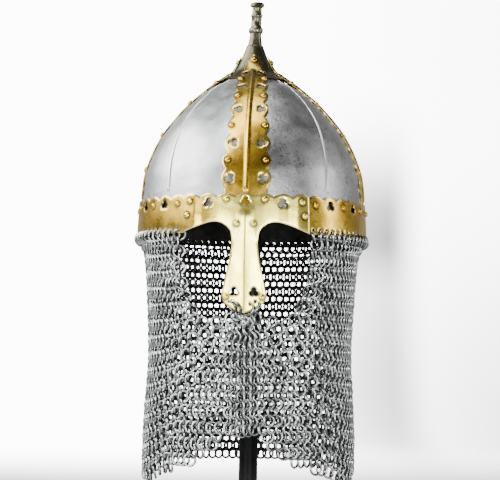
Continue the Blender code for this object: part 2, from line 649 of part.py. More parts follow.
def stand(mat, collection):
    bpy.ops.mesh.primitive_cylinder_add(vertices=32, radius=BASE_RADIUS, depth=BASE_THICKNESS,
                                        location=(0, 0, BASE_THICKNESS / 2))
    base = bpy.context.object
    base.name = base.data.name = "stand_base"
    mod = base.modifiers.new("Edge", "BEVEL")
    mod.width = BASE_BEVEL
    mod.segments = 1
    mod.limit_method = "ANGLE"

    ups = np.linspace(REST_HIGH, REST_LOW, 5)
    crown = [offset_profile(u, float(panel_depth(u)) + PANEL_THICKNESS + REST_GAP) for u in ups]
    edge = crown[-1]
    boss_foot = edge[1] - REST_THICKNESS - REST_BOSS_DEPTH
    outline = [(0.0, crown[0][1])] + crown + [(edge[0], edge[1] - REST_THICKNESS),
               (REST_BOSS_RADIUS, edge[1] - REST_THICKNESS), (REST_BOSS_RADIUS, boss_foot), (0.0, boss_foot)]
    turned("stand_cap", outline, 18, mat, collection)

    low, high = BASE_THICKNESS + FIT, boss_foot - FIT
    bpy.ops.mesh.primitive_cylinder_add(vertices=20, radius=POST_RADIUS, depth=high - low,
                                        location=(0, 0, (low + high) / 2))
    post = bpy.context.object
    post.name = post.data.name = "stand_post"
    for obj in (base, post):
        obj.data.materials.append(mat)
        for owner in list(obj.users_collection):
            owner.objects.unlink(obj)
        collection.objects.link(obj)


def main():
    for obj in list(bpy.data.objects):
        bpy.data.objects.remove(obj, do_unlink=True)
    parts = bpy.data.collections.new("boyar_helmet")
    cutters = bpy.data.collections.new("boyar_helmet_cutters")
    for collection in (parts, cutters):
        bpy.context.scene.collection.children.link(collection)
    cutters.hide_render = True

    steel = material("panel_steel", (0.62, 0.62, 0.60), 0.32, 1.0)
    brass = material("brass", (0.78, 0.60, 0.28), 0.28, 1.0)
    dark = material("dark_steel", (0.30, 0.30, 0.27), 0.30, 1.0)
    iron = material("mail_iron", (0.55, 0.56, 0.57), 0.35, 1.0)
    black = material("black_paint", (0.02, 0.02, 0.02), 0.4, 0.0)

    for number, name in enumerate(("front_right", "back_right", "back_left", "front_left")):
        skull_panel("skull_panel_" + name, number * math.pi / 2, steel, parts)
    tab_seats = []
    for name, turn in (("front_band", 0.0), ("right_band", 90.0), ("back_band", 180.0), ("left_band", 270.0)):
        front = name == "front_band"
        obj, heads, tab = band(name, math.radians(turn), brass, parts, front)
        tab_seats.append(tab)
        if front:
            rivets("front_band", heads, BAND_THICKNESS, brass, parts)
        else:
            fuse_heads(obj, heads, cutters)
    rivets("tab", tab_seats, BAND_THICKNESS, brass, parts)
    obj, heads = brow_band(brass, parts)
    fuse_heads(obj, heads, cutters)
    obj, seats = nasal_plate(brass, parts)
    rivets("nasal_plate", seats, PLATE_THICKNESS, brass, parts)
    finial_socket(dark, parts)
    finial_spire(dark, parts)
    mail_curtain(iron, parts)
    stand(black, parts)


main()
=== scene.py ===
"""Looks of a spired helmet with a mail curtain on its post stand.

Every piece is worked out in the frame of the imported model: +Z up, the front looks along -Y, metres.
Places on the helmet are given by "across", the length round it from a centre line, and "up", the
length along the outer profile from the rim.
"""

import math
from math import pi

import bpy
import numpy as np
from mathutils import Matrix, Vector
from mathutils.geometry import delaunay_2d_cdt
from numpy.linalg import norm


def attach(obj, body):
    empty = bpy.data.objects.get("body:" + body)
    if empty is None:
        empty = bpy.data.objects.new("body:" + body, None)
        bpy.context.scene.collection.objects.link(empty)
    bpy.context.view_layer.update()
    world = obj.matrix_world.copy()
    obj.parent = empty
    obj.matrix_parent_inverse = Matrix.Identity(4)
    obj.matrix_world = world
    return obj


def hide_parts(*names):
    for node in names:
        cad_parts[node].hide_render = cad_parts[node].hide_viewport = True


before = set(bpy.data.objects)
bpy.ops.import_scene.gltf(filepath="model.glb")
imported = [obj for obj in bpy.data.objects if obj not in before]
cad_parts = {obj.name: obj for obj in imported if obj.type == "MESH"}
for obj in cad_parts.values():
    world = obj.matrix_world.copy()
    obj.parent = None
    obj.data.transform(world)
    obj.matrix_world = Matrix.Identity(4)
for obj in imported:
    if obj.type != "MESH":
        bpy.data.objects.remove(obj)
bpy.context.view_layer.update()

MM = 0.001

# Helmet body, measured over the bands
HALF_WIDTH = 105.3 * MM
HALF_LENGTH = 115.8 * MM
DOME_HEIGHT = 182.0 * MM
ROUND_HEIGHT = 149.0 * MM
RIM_HEIGHT = 290.0 * MM

# Sheets and clearances
PANEL_THICKNESS = 1.2 * MM
BAND_THICKNESS = 1.1 * MM
BROW_THICKNESS = 1.2 * MM
PLATE_THICKNESS = 1.4 * MM
SOCKET_THICKNESS = 1.2 * MM
LAYER_GAP = 0.45 * MM
SOCKET_GAP = 0.8 * MM
FIT = 0.3 * MM
EDGE_ROLL = 0.32 * MM  # how far a filed edge falls away

# Panels
PANEL_FOOT = 10.5 * MM
PANEL_LAP = 8.0 * MM
RIB_HEIGHT = 1.5 * MM
RIB_HALF_WIDTH = 1.9 * MM
RIB_START = 40.0 * MM
RIB_END = 168.0 * MM
RIB_ANGLE = 44.0  # degrees from the front or back, at the rib's foot
RIB_TURN = 10.0  # degrees that it turns away by its top
RIB_LOWERING = 0.65  # share of the height lost by the top
RIB_THINNING = 0.55  # share of the width lost by the top

# Bands
BAND_HALF = 22.0 * MM
BAND_FOOT = 13.0 * MM
TAB_DROP = 17.0 * MM
TAB_RADIUS = 6.5 * MM
TAB_SHOULDER = 5.0 * MM
SHOULDER_WIDTH = 9.2 * MM
RIDGE_HEIGHT = 1.6 * MM
RIDGE_HALF_WIDTH = 2.3 * MM
SCALLOP_DEPTH = 3.2 * MM
SCALLOP_POWER = 1.9
TREFOIL_RADIUS = 4.7 * MM
LOBE_RADIUS = 2.45 * MM
# Painted shade that darkens each band towards its tab
TOP_SHADE_START = 0.60  # where a band starts to darken, as a share of the way to its tab
TOP_SHADE_LENGTH = 0.36

# Brow band
BROW_HEIGHT = 34.0 * MM
BROW_FIRST = 64.9 * MM
BROW_PITCH = 17.9 * MM
BROW_LAP = 6.5 * MM
BROW_MARK_DROP = 8.5 * MM
LACING_HEIGHT = 3.9 * MM
LACING_HOLE = 1.5 * MM  # radius
LACING_FIRST = 63.2 * MM
LACING_SHIFT = 1.2 * MM  # from a ring's middle to the hole that its wire goes through

# Brow plate and nasal
PLATE_HALF = 56.5 * MM
PLATE_PITCH = 16.6 * MM
EYE_HEIGHT = 9.1 * MM
NASAL_LENGTH = 69.8 * MM
NASAL_HALF = 19.3 * MM
TIE_HOLE = 1.1 * MM  # radius
# Painted shade that darkens the nasal plate towards its ends, more on the left
PAINTED_END_SHADE = ((-1, 20.0, 24.0, 1.0), (1, 34.0, 16.0, 0.4))  # side, start and length in mm, share

# Rivets
RIVET_RADIUS = 2.75 * MM
RIVET_HEIGHT = 1.9 * MM

# Socket and spire
SOCKET_SKIRT = 38.0 * MM
SOCKET_CAP = 5.0 * MM
SOCKET_HOLE = 3.3 * MM  # radius
SPIRE_HEIGHT = 40.4 * MM
SPIRE_RADIUS = 6.9 * MM
SPIRE_LEAN = math.radians(2.5)

# Mail
RING_RADIUS = 5.15 * MM  # to the middle of the wire
WIRE_RADIUS = 1.18 * MM
LINK_REACH = 8.0 * MM  # furthest apart that two linked rings can be
RING_CLEAR = 4.9 * MM  # nearest that two rings of one row come
LINK_NEAR = 6.2 * MM  # nearest that two linked rings come
ROW_EASY = 7.0 * MM  # rings of one row drift this far apart
ROW_REACH = 13.5 * MM  # furthest apart that they can be
ROW_DROP = 7.4 * MM  # from row to row before the net settles
FIRST_DEPTH = 2.0 * MM
RIM_RINGS = 77  # rings laced to the rim
FULL_COLUMNS = 86  # rings round, below the eye opening
MAIL_ROWS = 32
OPENING_ROWS = 12  # rows beside the eye opening
UPPER_ROWS = 10
MIDDLE_ROWS = 20
STRIP_HALF = 5  # half-columns either side of the nasal that hang straight
STRIP_PITCH = 5.4 * MM
LACED_DEPTH = 1.0 * MM  # of the laced rings under the skin, and below the rim
TIE_DROP = 4.6 * MM
TIE_LIFT = 1.8 * MM
LACED_LEAN = math.radians(55)
LEAN_STEP = 2.9 * MM  # how far a leaning ring stands out, for its lean
LEAN_SCATTER = math.radians(2.0)
TIP_SCATTER = math.radians(2.5)
PLACE_SCATTER = 0.07 * MM
RING_SIDES = 16
WIRE_SIDES = 6

# Hem: half-columns from the middle of the front, and the last row of rings up to there
HEM = ((86, 28), (46, 29), (37, 30), (31, 31), (20, 30), (13, 29), (9, 28), (7, 27), (5, 26))

# Outline of the mail: depth below the rim and half-width, mm
MAIL_DRAW = [
    (0, 104.0), (8, 98.8), (15, 96.6), (30, 95.0), (57, 93.4), (86, 91.8), (118, 91.6), (150, 94.0),
    (181, 95.8), (215, 96.2)]

# The mail's reach to the front and back as shares of its half-width, their mean and its square
MAIL_FRONT = 1.215
MAIL_BACK = 1.135
MAIL_OVAL = 1.17
OVAL_SQUARED = 1.37

# Stand
BASE_RADIUS = 85.0 * MM
BASE_THICKNESS = 9.0 * MM
POST_RADIUS = 8.75 * MM
REST_THICKNESS = 7.0 * MM
BOSS_RADIUS = 15.0 * MM
BOSS_DEPTH = 22.0 * MM
REST_GAP = 0.9 * MM
REST_LOW = 146.0 * MM
REST_HIGH = 172.0 * MM

# Stage in metres, and its brightness as seen and as it lights the helmet
FLOOR_NEAR = -3.5
WALL_AWAY = 1.6
FLOOR_SWEEP = 0.9
WALL_TOP = 4.0
FLOOR_HALF = 4.5
WALL_SEEN = 12.0
WALL_LIGHT = 0.15
WORLD_SEEN = 2.5
WORLD_LIGHT = 0.08

# Camera in metres and degrees
CAMERA_AWAY = 1.5
CAMERA_DROP = 0.092  # below the rim
CAMERA_TURN = 3.0
CAMERA_ROLL = 0.95

# Outer profile: shares of the dome's height and half-width
PROFILE = [
    (0.0, 1.0), (0.066, 0.997), (0.168, 0.985), (0.247, 0.974), (0.332, 0.954), (0.423, 0.900),
    (0.525, 0.812), (0.604, 0.712), (0.679, 0.597), (0.736, 0.489), (0.797, 0.357), (0.843, 0.243),
    (0.876, 0.188), (0.923, 0.141), (0.960, 0.114), (1.0, 0.087)]

# A band's openings and rivets: kind, shares of the way to the tab rivet and of the half-width, size
BAND_MARKS = [
    ("trefoil", 0.238, 1.000, 0.664, 1.00), ("rivet", 0.320, 0.990, 0.755, 1.0),
    ("trefoil", 0.406, 0.920, 0.568, 1.00), ("rivet", 0.500, 0.855, 0.673, 1.0),
    ("trefoil", 0.606, 0.773, 0.468, 0.95), ("rivet", 0.699, 0.718, 0.532, 1.0),
    ("trefoil", 0.781, 0.690, 0.385, 0.85), ("rivet", 0.850, 0.650, 0.500, 1.0),
    ("trefoil", 0.915, 0.545, 0.290, 0.65)]

EYE_ARCH = [
    (0.857, 0.286), (0.706, 0.550), (0.547, 0.835), (0.382, 1.0), (0.250, 0.945), (0.155, 0.747),
    (0.075, 0.418), (0.022, 0.011)]
NASAL_EDGE = [
    (0.13, 0.58), (0.29, 0.635), (0.47, 0.765), (0.66, 0.91), (0.775, 1.0), (0.82, 0.985),
    (0.868, 0.88), (0.92, 0.65), (0.97, 0.31)]

# Spire: shares of its height above the socket and of its radius
SPIRE_OUTLINE = [
    (1.0, 0.0), (1.0, 0.60), (0.985, 0.86), (0.962, 0.95), (0.908, 0.95), (0.892, 0.72), (0.880, 0.64),
    (0.80, 0.645), (0.735, 0.67), (0.712, 0.78), (0.690, 0.80), (0.668, 0.78), (0.655, 0.70),
    (0.56, 0.69), (0.44, 0.72), (0.405, 0.90), (0.375, 0.98), (0.320, 0.98), (0.298, 0.90),
    (0.278, 0.76), (0.20, 0.80), (0.09, 0.90), (0.0, 1.0), (0.0, 0.0)]


# Curves and the helmet's skin

def ease(value):
    value = np.clip(value, 0.0, 1.0)
    return value * value * (3 - 2 * value)


def turns(count):
    return np.linspace(0, 2 * pi, count, endpoint=False)


def smooth_curve(points, count):
    """Smooth curve through the points: each stretch is a cubic whose slopes follow its neighbours."""
    pts = np.array(points, float)
    pts = np.vstack([2 * pts[0] - pts[1], pts, 2 * pts[-1] - pts[-2]])
    a, b, c, d = (pts[k:len(pts) - 3 + k, None] for k in range(4))
    t = np.linspace(0, 1, count, endpoint=False)[None, :, None]
    curve = 0.5 * (2 * b + (c - a) * t + (2 * a - 5 * b + 4 * c - d) * t ** 2
                   + (3 * b - a - 3 * c + d) * t ** 3)
    return np.vstack([curve.reshape(-1, pts.shape[1]), pts[-2]])


CURVE = smooth_curve([(w * HALF_WIDTH, h * DOME_HEIGHT) for h, w in PROFILE], 24)
CURVE_UP = np.concatenate([[0], np.cumsum(norm(np.diff(CURVE, axis=0), axis=1))])
PROFILE_LENGTH = float(CURVE_UP[-1])


def skin_base(angle, up):
    """Outer profile turned about Z; its plan is an oval that becomes round at ROUND_HEIGHT."""
    angle, up = np.broadcast_arrays(np.asarray(angle, float), np.asarray(up, float))
    radius = np.interp(up, CURVE_UP, CURVE[:, 0])
    height = np.interp(up, CURVE_UP, CURVE[:, 1]) + np.minimum(up, 0.0)
    oval = HALF_LENGTH / HALF_WIDTH - 1.0
    stretch = 1.0 + oval * (1.0 - np.clip(height / ROUND_HEIGHT, 0.0, 1.0) ** 2)
    return np.stack([radius * np.sin(angle), -stretch * radius * np.cos(angle), RIM_HEIGHT + height], -1)


def unit(vectors):
    return vectors / norm(vectors, axis=-1, keepdims=True)


def skin_normal(angle, up):
    across = skin_base(angle + 0.01, up) - skin_base(angle - 0.01, up)
    along = skin_base(angle, up + 1.5 * MM) - skin_base(angle, up - 1.5 * MM)
    return unit(np.cross(across, along))


def skin(angle, up, lift):
    """Point at an angle from the front, a length up the profile and a lift along the normal."""
    angle, up, lift = np.broadcast_arrays(angle, up, lift)
    return skin_base(angle, up) + skin_normal(angle, up) * np.asarray(lift)[..., None]


def turn_rate(angle, up):
    """Length round the helmet for one radian."""
    step = skin_base(angle + 0.005, up) - skin_base(angle - 0.005, up)
    return norm(step, axis=-1) / 0.01


RIM_ANGLES = np.linspace(0.0, 2 * pi, 1441)
RIM_LENGTHS = np.concatenate([[0], np.cumsum(norm(
    np.diff(skin_base(RIM_ANGLES, 12 * MM), axis=0), axis=1))])
HALF_RIM = float(RIM_LENGTHS[-1]) / 2


def rim_angle(across):
    across = np.asarray(across, float)
    return np.sign(across) * np.interp(np.abs(across), RIM_LENGTHS, RIM_ANGLES)


PANEL_DEPTH = BAND_THICKNESS + LAYER_GAP
SOCKET_DEPTH = PANEL_DEPTH
PANEL_TOP_DEPTH = SOCKET_DEPTH + SOCKET_THICKNESS + SOCKET_GAP
SOCKET_FOOT = PROFILE_LENGTH - SOCKET_SKIRT
PANEL_HEAD = SOCKET_FOOT + PANEL_LAP
TAB_UP = PROFILE_LENGTH - TAB_DROP
BROW_LIFT = LAYER_GAP + BROW_THICKNESS
PLATE_LOW_LIFT = LAYER_GAP + PLATE_THICKNESS
PLATE_HIGH_LIFT = BROW_LIFT + LAYER_GAP + PLATE_THICKNESS
RIDGE_TOP = TAB_UP - TAB_RADIUS - 4 * MM
RIDGE_FOOT = BROW_HEIGHT + 1.5 * MM
KEEL_TOP = BROW_HEIGHT - BROW_MARK_DROP - TREFOIL_RADIUS


def panel_depth(up):
    return PANEL_DEPTH + (PANEL_TOP_DEPTH - PANEL_DEPTH) * ease((up - SOCKET_FOOT + 18 * MM) / (14 * MM))


def plate_lift(across):
    step = ease((np.abs(across) - PLATE_HALF + BROW_LAP + 13 * MM) / (10 * MM))
    return PLATE_LOW_LIFT + (PLATE_HIGH_LIFT - PLATE_LOW_LIFT) * step


def keel(across, up):
    """Sharp crest that falls off in a straight slope either side, wider down the nasal."""
    broad = ease((6 * MM - up) / (30 * MM))
    half = (0.36 + 0.34 * broad) * NASAL_HALF
    start = ease((KEEL_TOP - up) / (7 * MM))
    height = RIDGE_HEIGHT * (1 + 0.35 * broad)
    return height * start * np.clip(1 - (np.hypot(across, 0.2 * MM) - 0.2 * MM) / half, 0, 1)


def beaten(across, up, depth, seed):
    """Shallow waves of a hand-beaten sheet: a sum of slow sines in both lengths."""
    rng = np.random.default_rng(seed)
    total = np.zeros(np.broadcast(across, up).shape)
    for size in (31.0, 19.0, 13.0, 8.5):
        turn, phase = rng.uniform(0, pi), rng.uniform(0, 2 * pi, 2)
        one = (across * math.cos(turn) + up * math.sin(turn)) * 2 * pi / (size * MM)
        two = (up * math.cos(turn) - across * math.sin(turn)) * 2 * pi / (size * 1.3 * MM)
        total = total + np.sin(one + phase[0]) * np.sin(two + phase[1]) * size / 31.0
    return depth * total


# Mesh making

def placed(name, data):
    obj = bpy.data.objects.new(name, data)
    bpy.context.scene.collection.objects.link(obj)
    return obj


def piece(name, verts, faces, finish, nodes, sharp=40.0, marks=None, painted_inside_span=None):
    """A mesh from arrays; the last argument says where the faces of the sheet's inside begin and end, which
    take a near-black finish as painted shade.
    """
    mesh = bpy.data.meshes.new(name)
    mesh.from_pydata(np.asarray(verts).tolist(), [], [tuple(f) for f in faces])
    mesh.materials.append(finish)
    if painted_inside_span:
        mesh.materials.append(PAINTED_INSIDE_SHADE)
        number = np.arange(len(faces))
        inner = (number >= painted_inside_span[0]) & (number < painted_inside_span[1])
        mesh.polygons.foreach_set("material_index", inner.astype(np.int32))
    mesh.shade_smooth()
    mesh.set_sharp_from_angle(angle=math.radians(sharp))
    for label, values in (marks or {}).items():
        mark = mesh.attributes.new(label, "FLOAT", "POINT")
        mark.data.foreach_set("value", np.asarray(values, np.float32))
    obj = placed(name, mesh)
    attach(obj, "root")
    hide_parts(*nodes)


def grid_faces(rows, columns, closed=False):
    """Quads of a grid of points kept row after row."""
    r = np.arange(rows - 1)[:, None]
    c = np.arange(columns if closed else columns - 1)[None, :]
    d = (c + 1) % columns
    return np.stack([r * columns + c, r * columns + d, (r + 1) * columns + d, (r + 1) * columns + c],
                    -1).reshape(-1, 4)


def walled(outer, inner, faces):
    """Closes two matching sheets into one shell: the wall runs along each edge that one face has."""
    count = len(outer)
    starts = faces.ravel()
    ends = np.roll(faces, -1, axis=1).ravel()
    forward = starts * count + ends
    lone = ~np.isin(forward, ends * count + starts)
    a, b = starts[lone], ends[lone]
    wall = np.stack([b, a, a + count, b + count], -1)
    return np.vstack([outer, inner]), [*faces, *(faces[:, ::-1] + count), *wall]


def resample(loop, spacing):
    """The loop with each side cut into equal lengths no longer than the spacing."""
    loop = np.asarray(loop, float)
    out = []
    for start, end in zip(loop, np.roll(loop, -1, axis=0)):
        count = max(int(math.ceil(norm(end - start) / spacing)), 1)
        out.append(start + (end - start) * np.linspace(0, 1, count, endpoint=False)[:, None])
    return np.vstack(out)


def inside(points, loop):
    """Which points lie in a flat loop, by the crossings of a level ray."""
    hit = np.zeros(len(points), bool)
    for (x0, y0), (x1, y1) in zip(loop, np.roll(loop, -1, axis=0)):
        level = (y0 > points[:, 1]) != (y1 > points[:, 1])
        reach = x0 + (points[:, 1] - y0) * (x1 - x0) / (y1 - y0 if y1 != y0 else 1.0)
        hit ^= level & (points[:, 0] < reach)
    return hit


def on_sheet(points, loops):
    """Which points lie within the first loop and in none of the others."""
    keep = inside(points, loops[0])
    for loop in loops[1:]:
        near = keep & (np.abs(points - loop.mean(0)).max(1) < 8 * MM)
        keep[near] &= ~inside(points[near], loop)
    return keep


def loop_distance(points, loops):
    """Distance of each point from the nearest side of any loop."""
    start = np.vstack(loops)
    side = np.vstack([np.roll(loop, -1, axis=0) - loop for loop in loops])
    length = (side ** 2).sum(1)
    nearest = np.empty(len(points))
    for first in range(0, len(points), 1500):
        away = points[first:first + 1500, None] - start[None]
        share = np.clip((away * side).sum(-1) / length, 0, 1)
        nearest[first:first + 1500] = np.sqrt(((away - share[..., None] * side) ** 2).sum(-1).min(1))
    return nearest


def pattern_mesh(outline, holes, grid, fine, rivets):
    """Triangles of a flat pattern: edge loops, two lines inside them, rings round the rivets, a grid."""
    loops = [resample(outline, fine), *holes]
    seeds = []
    for loop in loops:
        side = np.roll(loop, -1, axis=0) - np.roll(loop, 1, axis=0)
        normal = np.stack([-side[:, 1], side[:, 0]], -1) / norm(side, axis=1)[:, None]
        for reach in (0.35 * MM, 0.95 * MM):
            for way in (1, -1):
                seeds.append((loop + way * reach * normal, 0.85 * reach))
    points = []
    rings = np.vstack([round_hole(spot, RIVET_RADIUS * reach, 20) for spot in rivets
                       for reach in (0.75, 1.0, 1.2, 1.45)])
    away = norm(grid[:, None] - np.array(rivets), axis=-1).min(1)
    grid = grid[away > RIVET_RADIUS * 1.7]
    seeds.append((rings, 0.8 * MM))
    for spots, clear in seeds + [(grid, 1.45 * MM)]:
        points.append(spots[on_sheet(spots, loops) & (loop_distance(spots, loops) > clear)])
    points = np.vstack(loops + points)
    edges, first = [], 0
    for loop in loops:
        turn = np.arange(len(loop))
        edges += np.stack([first + turn, first + (turn + 1) % len(loop)], -1).tolist()
        first += len(loop)
    points = [Vector(p) for p in points.tolist()]
    flat, _, faces, _, _, _ = delaunay_2d_cdt(points, edges, [], 1, 1e-7)
    flat = np.array([tuple(p) for p in flat])
    faces = np.array([tuple(f) for f in faces if len(f) == 3])
    faces = faces[on_sheet(flat[faces].mean(1), loops)]
    a, b, c = (flat[faces[:, k]] for k in range(3))
    turned_over = np.cross(b - a, c - a) < 0
    faces[turned_over] = faces[turned_over][:, ::-1]
    return flat, faces, loops


def metal_sheet(name, outline, holes, grid, wrap, thickness, finish, nodes, rivets, painted_end_shade=np.zeros_like,
                painted_top_shade=np.zeros_like):
    """A pierced sheet: the flat pattern wrapped by wrap(across, up, depth), with a filed edge."""
    flat, faces, loops = pattern_mesh(outline, holes, grid, 0.8 * MM, rivets)
    edge = loop_distance(flat, loops)
    fall = EDGE_ROLL * (1 - ease(edge / (0.95 * MM)))
    outer = wrap(flat[:, 0], flat[:, 1], fall)
    inner = wrap(flat[:, 0], flat[:, 1], np.full(len(flat), thickness))
    verts, shell = walled(outer, inner, faces)
    worn = 1 - ease((edge - 0.3 * MM) / (1.6 * MM))
    near = norm(flat[:, None] - np.array(rivets), axis=-1).min(1)
    # Painted shadow: the seat mark darkens a ring round each rivet head.
    seat = 1 - ease((near - RIVET_RADIUS) / (2.3 * MM))
    marks = {"worn": worn, "seat": seat, "painted_end_shade": painted_end_shade(flat[:, 0]), "painted_top_shade": painted_top_shade(flat[:, 1])}
    piece(name, verts, shell, finish, nodes,
          marks={label: np.tile(values, 2) for label, values in marks.items()},
          painted_inside_span=(len(faces), 2 * len(faces)))


def turned(name, outline, segments, finish, nodes, lean=0.0, foot=0.0, sharp=32.0):
    """Outline of radii and heights, top to bottom, carried round Z; a point of no radius is a pole."""
    outline = np.array(outline, float)
    top_pole, low_pole = outline[0, 0] == 0, outline[-1, 0] == 0
    rim = outline[int(top_pole):len(outline) - int(low_pole)]
    turn = turns(segments)
    verts = np.stack([rim[:, :1] * np.cos(turn), rim[:, :1] * np.sin(turn),
                      np.repeat(rim[:, 1:], segments, axis=1)], -1).reshape(-1, 3)
    faces = list(grid_faces(len(rim), segments, True)[:, ::-1])
    around = np.arange(segments)
    after = (around + 1) % segments
    low = (len(rim) - 1) * segments
    if top_pole:
        verts = np.vstack([verts, [0, 0, outline[0, 1]]])
        faces += list(np.stack([np.full(segments, len(verts) - 1), around, after], -1))
    if low_pole:
        verts = np.vstack([verts, [0, 0, outline[-1, 1]]])
        faces += list(np.stack([np.full(segments, len(verts) - 1), low + after, low + around], -1))
    if not (top_pole or low_pole):
        faces += list(np.stack([after, around, low + around, low + after], -1))
    verts[:, 0] += np.maximum(verts[:, 2] - foot, 0.0) * math.tan(lean)
    piece(name, verts, faces, finish, nodes, sharp=sharp)


# Finishes

class Nodes:
    """Short way to lay out one material's nodes."""

    def __init__(self, name):
        self.material = bpy.data.materials.new(name)
        self.material.use_nodes = True
        self.tree = self.material.node_tree
        self.shader = self.tree.nodes["Principled BSDF"]
        self.place = self.new("TexCoord").outputs["Object"]

    def new(self, kind):
        return self.tree.nodes.new("ShaderNode" + kind)

    def put(self, target, value):
        """Links a socket, or sets a number or a colour."""
        if hasattr(value, "is_linked"):
            self.tree.links.new(value, target)
        else:
            target.default_value = (*value, 1.0) if isinstance(value, tuple) else value

    def noise(self, scale, detail, roughness):
        node = self.new("TexNoise")
        self.put(node.inputs["Vector"], self.place)
        for label, value in (("Scale", scale), ("Detail", detail), ("Roughness", roughness)):
            self.put(node.inputs[label], value)
        return node.outputs["Fac"]

    def mark(self, label):
        node = self.new("Attribute")
        node.attribute_name = label
        return node.outputs["Fac"]

    def spread(self, value, low, high, to_low=0.0, to_high=1.0):
        node = self.new("MapRange")
        node.interpolation_type = "SMOOTHSTEP"
        for place, item in enumerate((value, low, high, to_low, to_high)):
            self.put(node.inputs[place], item)
        return node.outputs["Result"]

    def maths(self, kind, first, second):
        node = self.new("Math")
        node.operation = kind
        self.put(node.inputs[0], first)
        self.put(node.inputs[1], second)
        return node.outputs[0]

    def times(self, first, second):
        return self.maths("MULTIPLY", first, second)

    def mix(self, share, first, second):
        node = self.new("Mix")
        node.data_type = "RGBA"
        for place, item in ((0, share), (6, first), (7, second)):
            self.put(node.inputs[place], item)
        return node.outputs[2]

    def clouds(self, noise, low, high, dark, pale):
        return self.mix(self.spread(self.noise(*noise), low, high), dark, pale)

    def grain(self, noise, smooth, rough):
        return self.spread(self.noise(*noise), 0.3, 0.75, smooth, rough)

    def bump(self, *layers):
        """Bumps one after another: height, strength and distance of each."""
        normal = None
        for height, strength, distance in layers:
            node = self.new("Bump")
            for label, value in (("Height", height), ("Strength", strength), ("Distance", distance)):
                self.put(node.inputs[label], value)
            if normal is not None:
                self.put(node.inputs["Normal"], normal)
            normal = node.outputs["Normal"]
        self.put(self.shader.inputs["Normal"], normal)

    def finish(self, colour, roughness, metallic):
        self.put(self.shader.inputs["Base Color"], colour)
        self.put(self.shader.inputs["Roughness"], roughness)
        self.shader.inputs["Metallic"].default_value = metallic
        return self.material


def brass_finish(name, dark, pale):
    n = Nodes(name)
    colour = n.clouds((30.0, 3.0, 0.55), 0.33, 0.70, dark, pale)
    # Painted shade and shadow: darker gold towards the nasal plate's ends and towards the bands' tabs, and
    # a dark ring round each rivet head.
    for label, share, tone in (("painted_end_shade", 0.8, (0.66, 0.40, 0.04)), ("worn", 0.5, (0.97, 0.84, 0.36)),
                               ("painted_top_shade", 0.75, (0.20, 0.15, 0.045)), ("seat", 0.95, (0.07, 0.038, 0.01))):
        colour = n.mix(n.times(n.mark(label), share), colour, tone)
    spots = n.spread(n.noise(160.0, 4.0, 0.7), 0.62, 0.74)
    colour = n.mix(n.times(spots, 0.35), colour, (0.36, 0.21, 0.05))
    rough = n.grain((80.0, 5.0, 0.65), 0.24, 0.36)
    n.bump((n.noise(70.0, 3.0, 0.5), 0.14, 0.0008), (n.noise(900.0, 3.0, 0.6), 0.08, 0.0002))
    return n.finish(colour, rough, 1.0)


def steel_finish(name, dark, pale, pits, rough):
    n = Nodes(name)
    colour = n.clouds((22.0, 4.0, 0.6), 0.32, 0.7, dark, pale)
    small = n.spread(n.noise(360.0, 4.0, 0.7), 0.54, 0.66)
    patch = n.spread(n.noise(26.0, 2.0, 0.5), 0.34, 0.64)
    specks = n.times(n.times(small, patch), pits)
    colour = n.mix(specks, colour, tuple(0.38 * c for c in dark))
    # A painted highlight along the rib's crest.
    colour = n.mix(n.times(n.mark("crest"), 0.85), colour, (0.93, 0.93, 0.91))
    # Painted shade where the bands lie over the panel.
    colour = n.mix(n.mark("under"), colour, (0.17, 0.155, 0.12))
    rougher = n.grain((60.0, 5.0, 0.7), rough - 0.08, rough + 0.08)
    n.bump((n.noise(55.0, 3.0, 0.5), 0.16, 0.0010),
           (n.noise(340.0, 4.0, 0.75), 0.10 + 0.60 * pits, 0.0006))
    return n.finish(colour, rougher, 1.0)


def dark_steel_finish():
    n = Nodes("dark_steel")
    colour = n.clouds((60.0, 4.0, 0.6), 0.35, 0.7, (0.085, 0.078, 0.045), (0.19, 0.178, 0.12))
    n.bump((n.noise(260.0, 4.0, 0.6), 0.15, 0.0003))
    return n.finish(colour, n.grain((150.0, 4.0, 0.7), 0.30, 0.42), 1.0)


def mail_finish():
    n = Nodes("galvanised_rings")
    colour = n.clouds((85.0, 3.0, 0.6), 0.35, 0.68, (0.25, 0.262, 0.262), (0.56, 0.578, 0.578))
    # Painted shade on the sides of the wires that face into the helmet.
    colour = n.mix(n.times(n.mark("painted_inner_shade"), 0.90), colour, (0.016, 0.016, 0.016))
    n.bump((n.noise(1100.0, 2.0, 0.6), 0.15, 0.0002))
    return n.finish(colour, n.grain((300.0, 4.0, 0.7), 0.16, 0.27), 1.0)


def black_finish():
    n = Nodes("satin_black")
    colour = n.clouds((50.0, 3.0, 0.6), 0.35, 0.7, (0.005, 0.005, 0.006), (0.011, 0.011, 0.012))
    n.shader.inputs["Specular IOR Level"].default_value = 0.08
    n.bump((n.noise(700.0, 3.0, 0.6), 0.08, 0.0002))
    return n.finish(colour, n.grain((180.0, 4.0, 0.7), 0.30, 0.44), 0.0)


# Near-black finish of every sheet's inside: painted shade inside the helmet.
def inside_shade_finish():
    n = Nodes("painted_inside_shade")
    colour = n.clouds((70.0, 4.0, 0.6), 0.35, 0.7, (0.020, 0.019, 0.017), (0.045, 0.042, 0.037))
    return n.finish(colour, n.grain((120.0, 3.0, 0.6), 0.5, 0.7), 0.3)


BRASS = brass_finish("polished_brass", (0.56, 0.33, 0.027), (0.74, 0.49, 0.055))
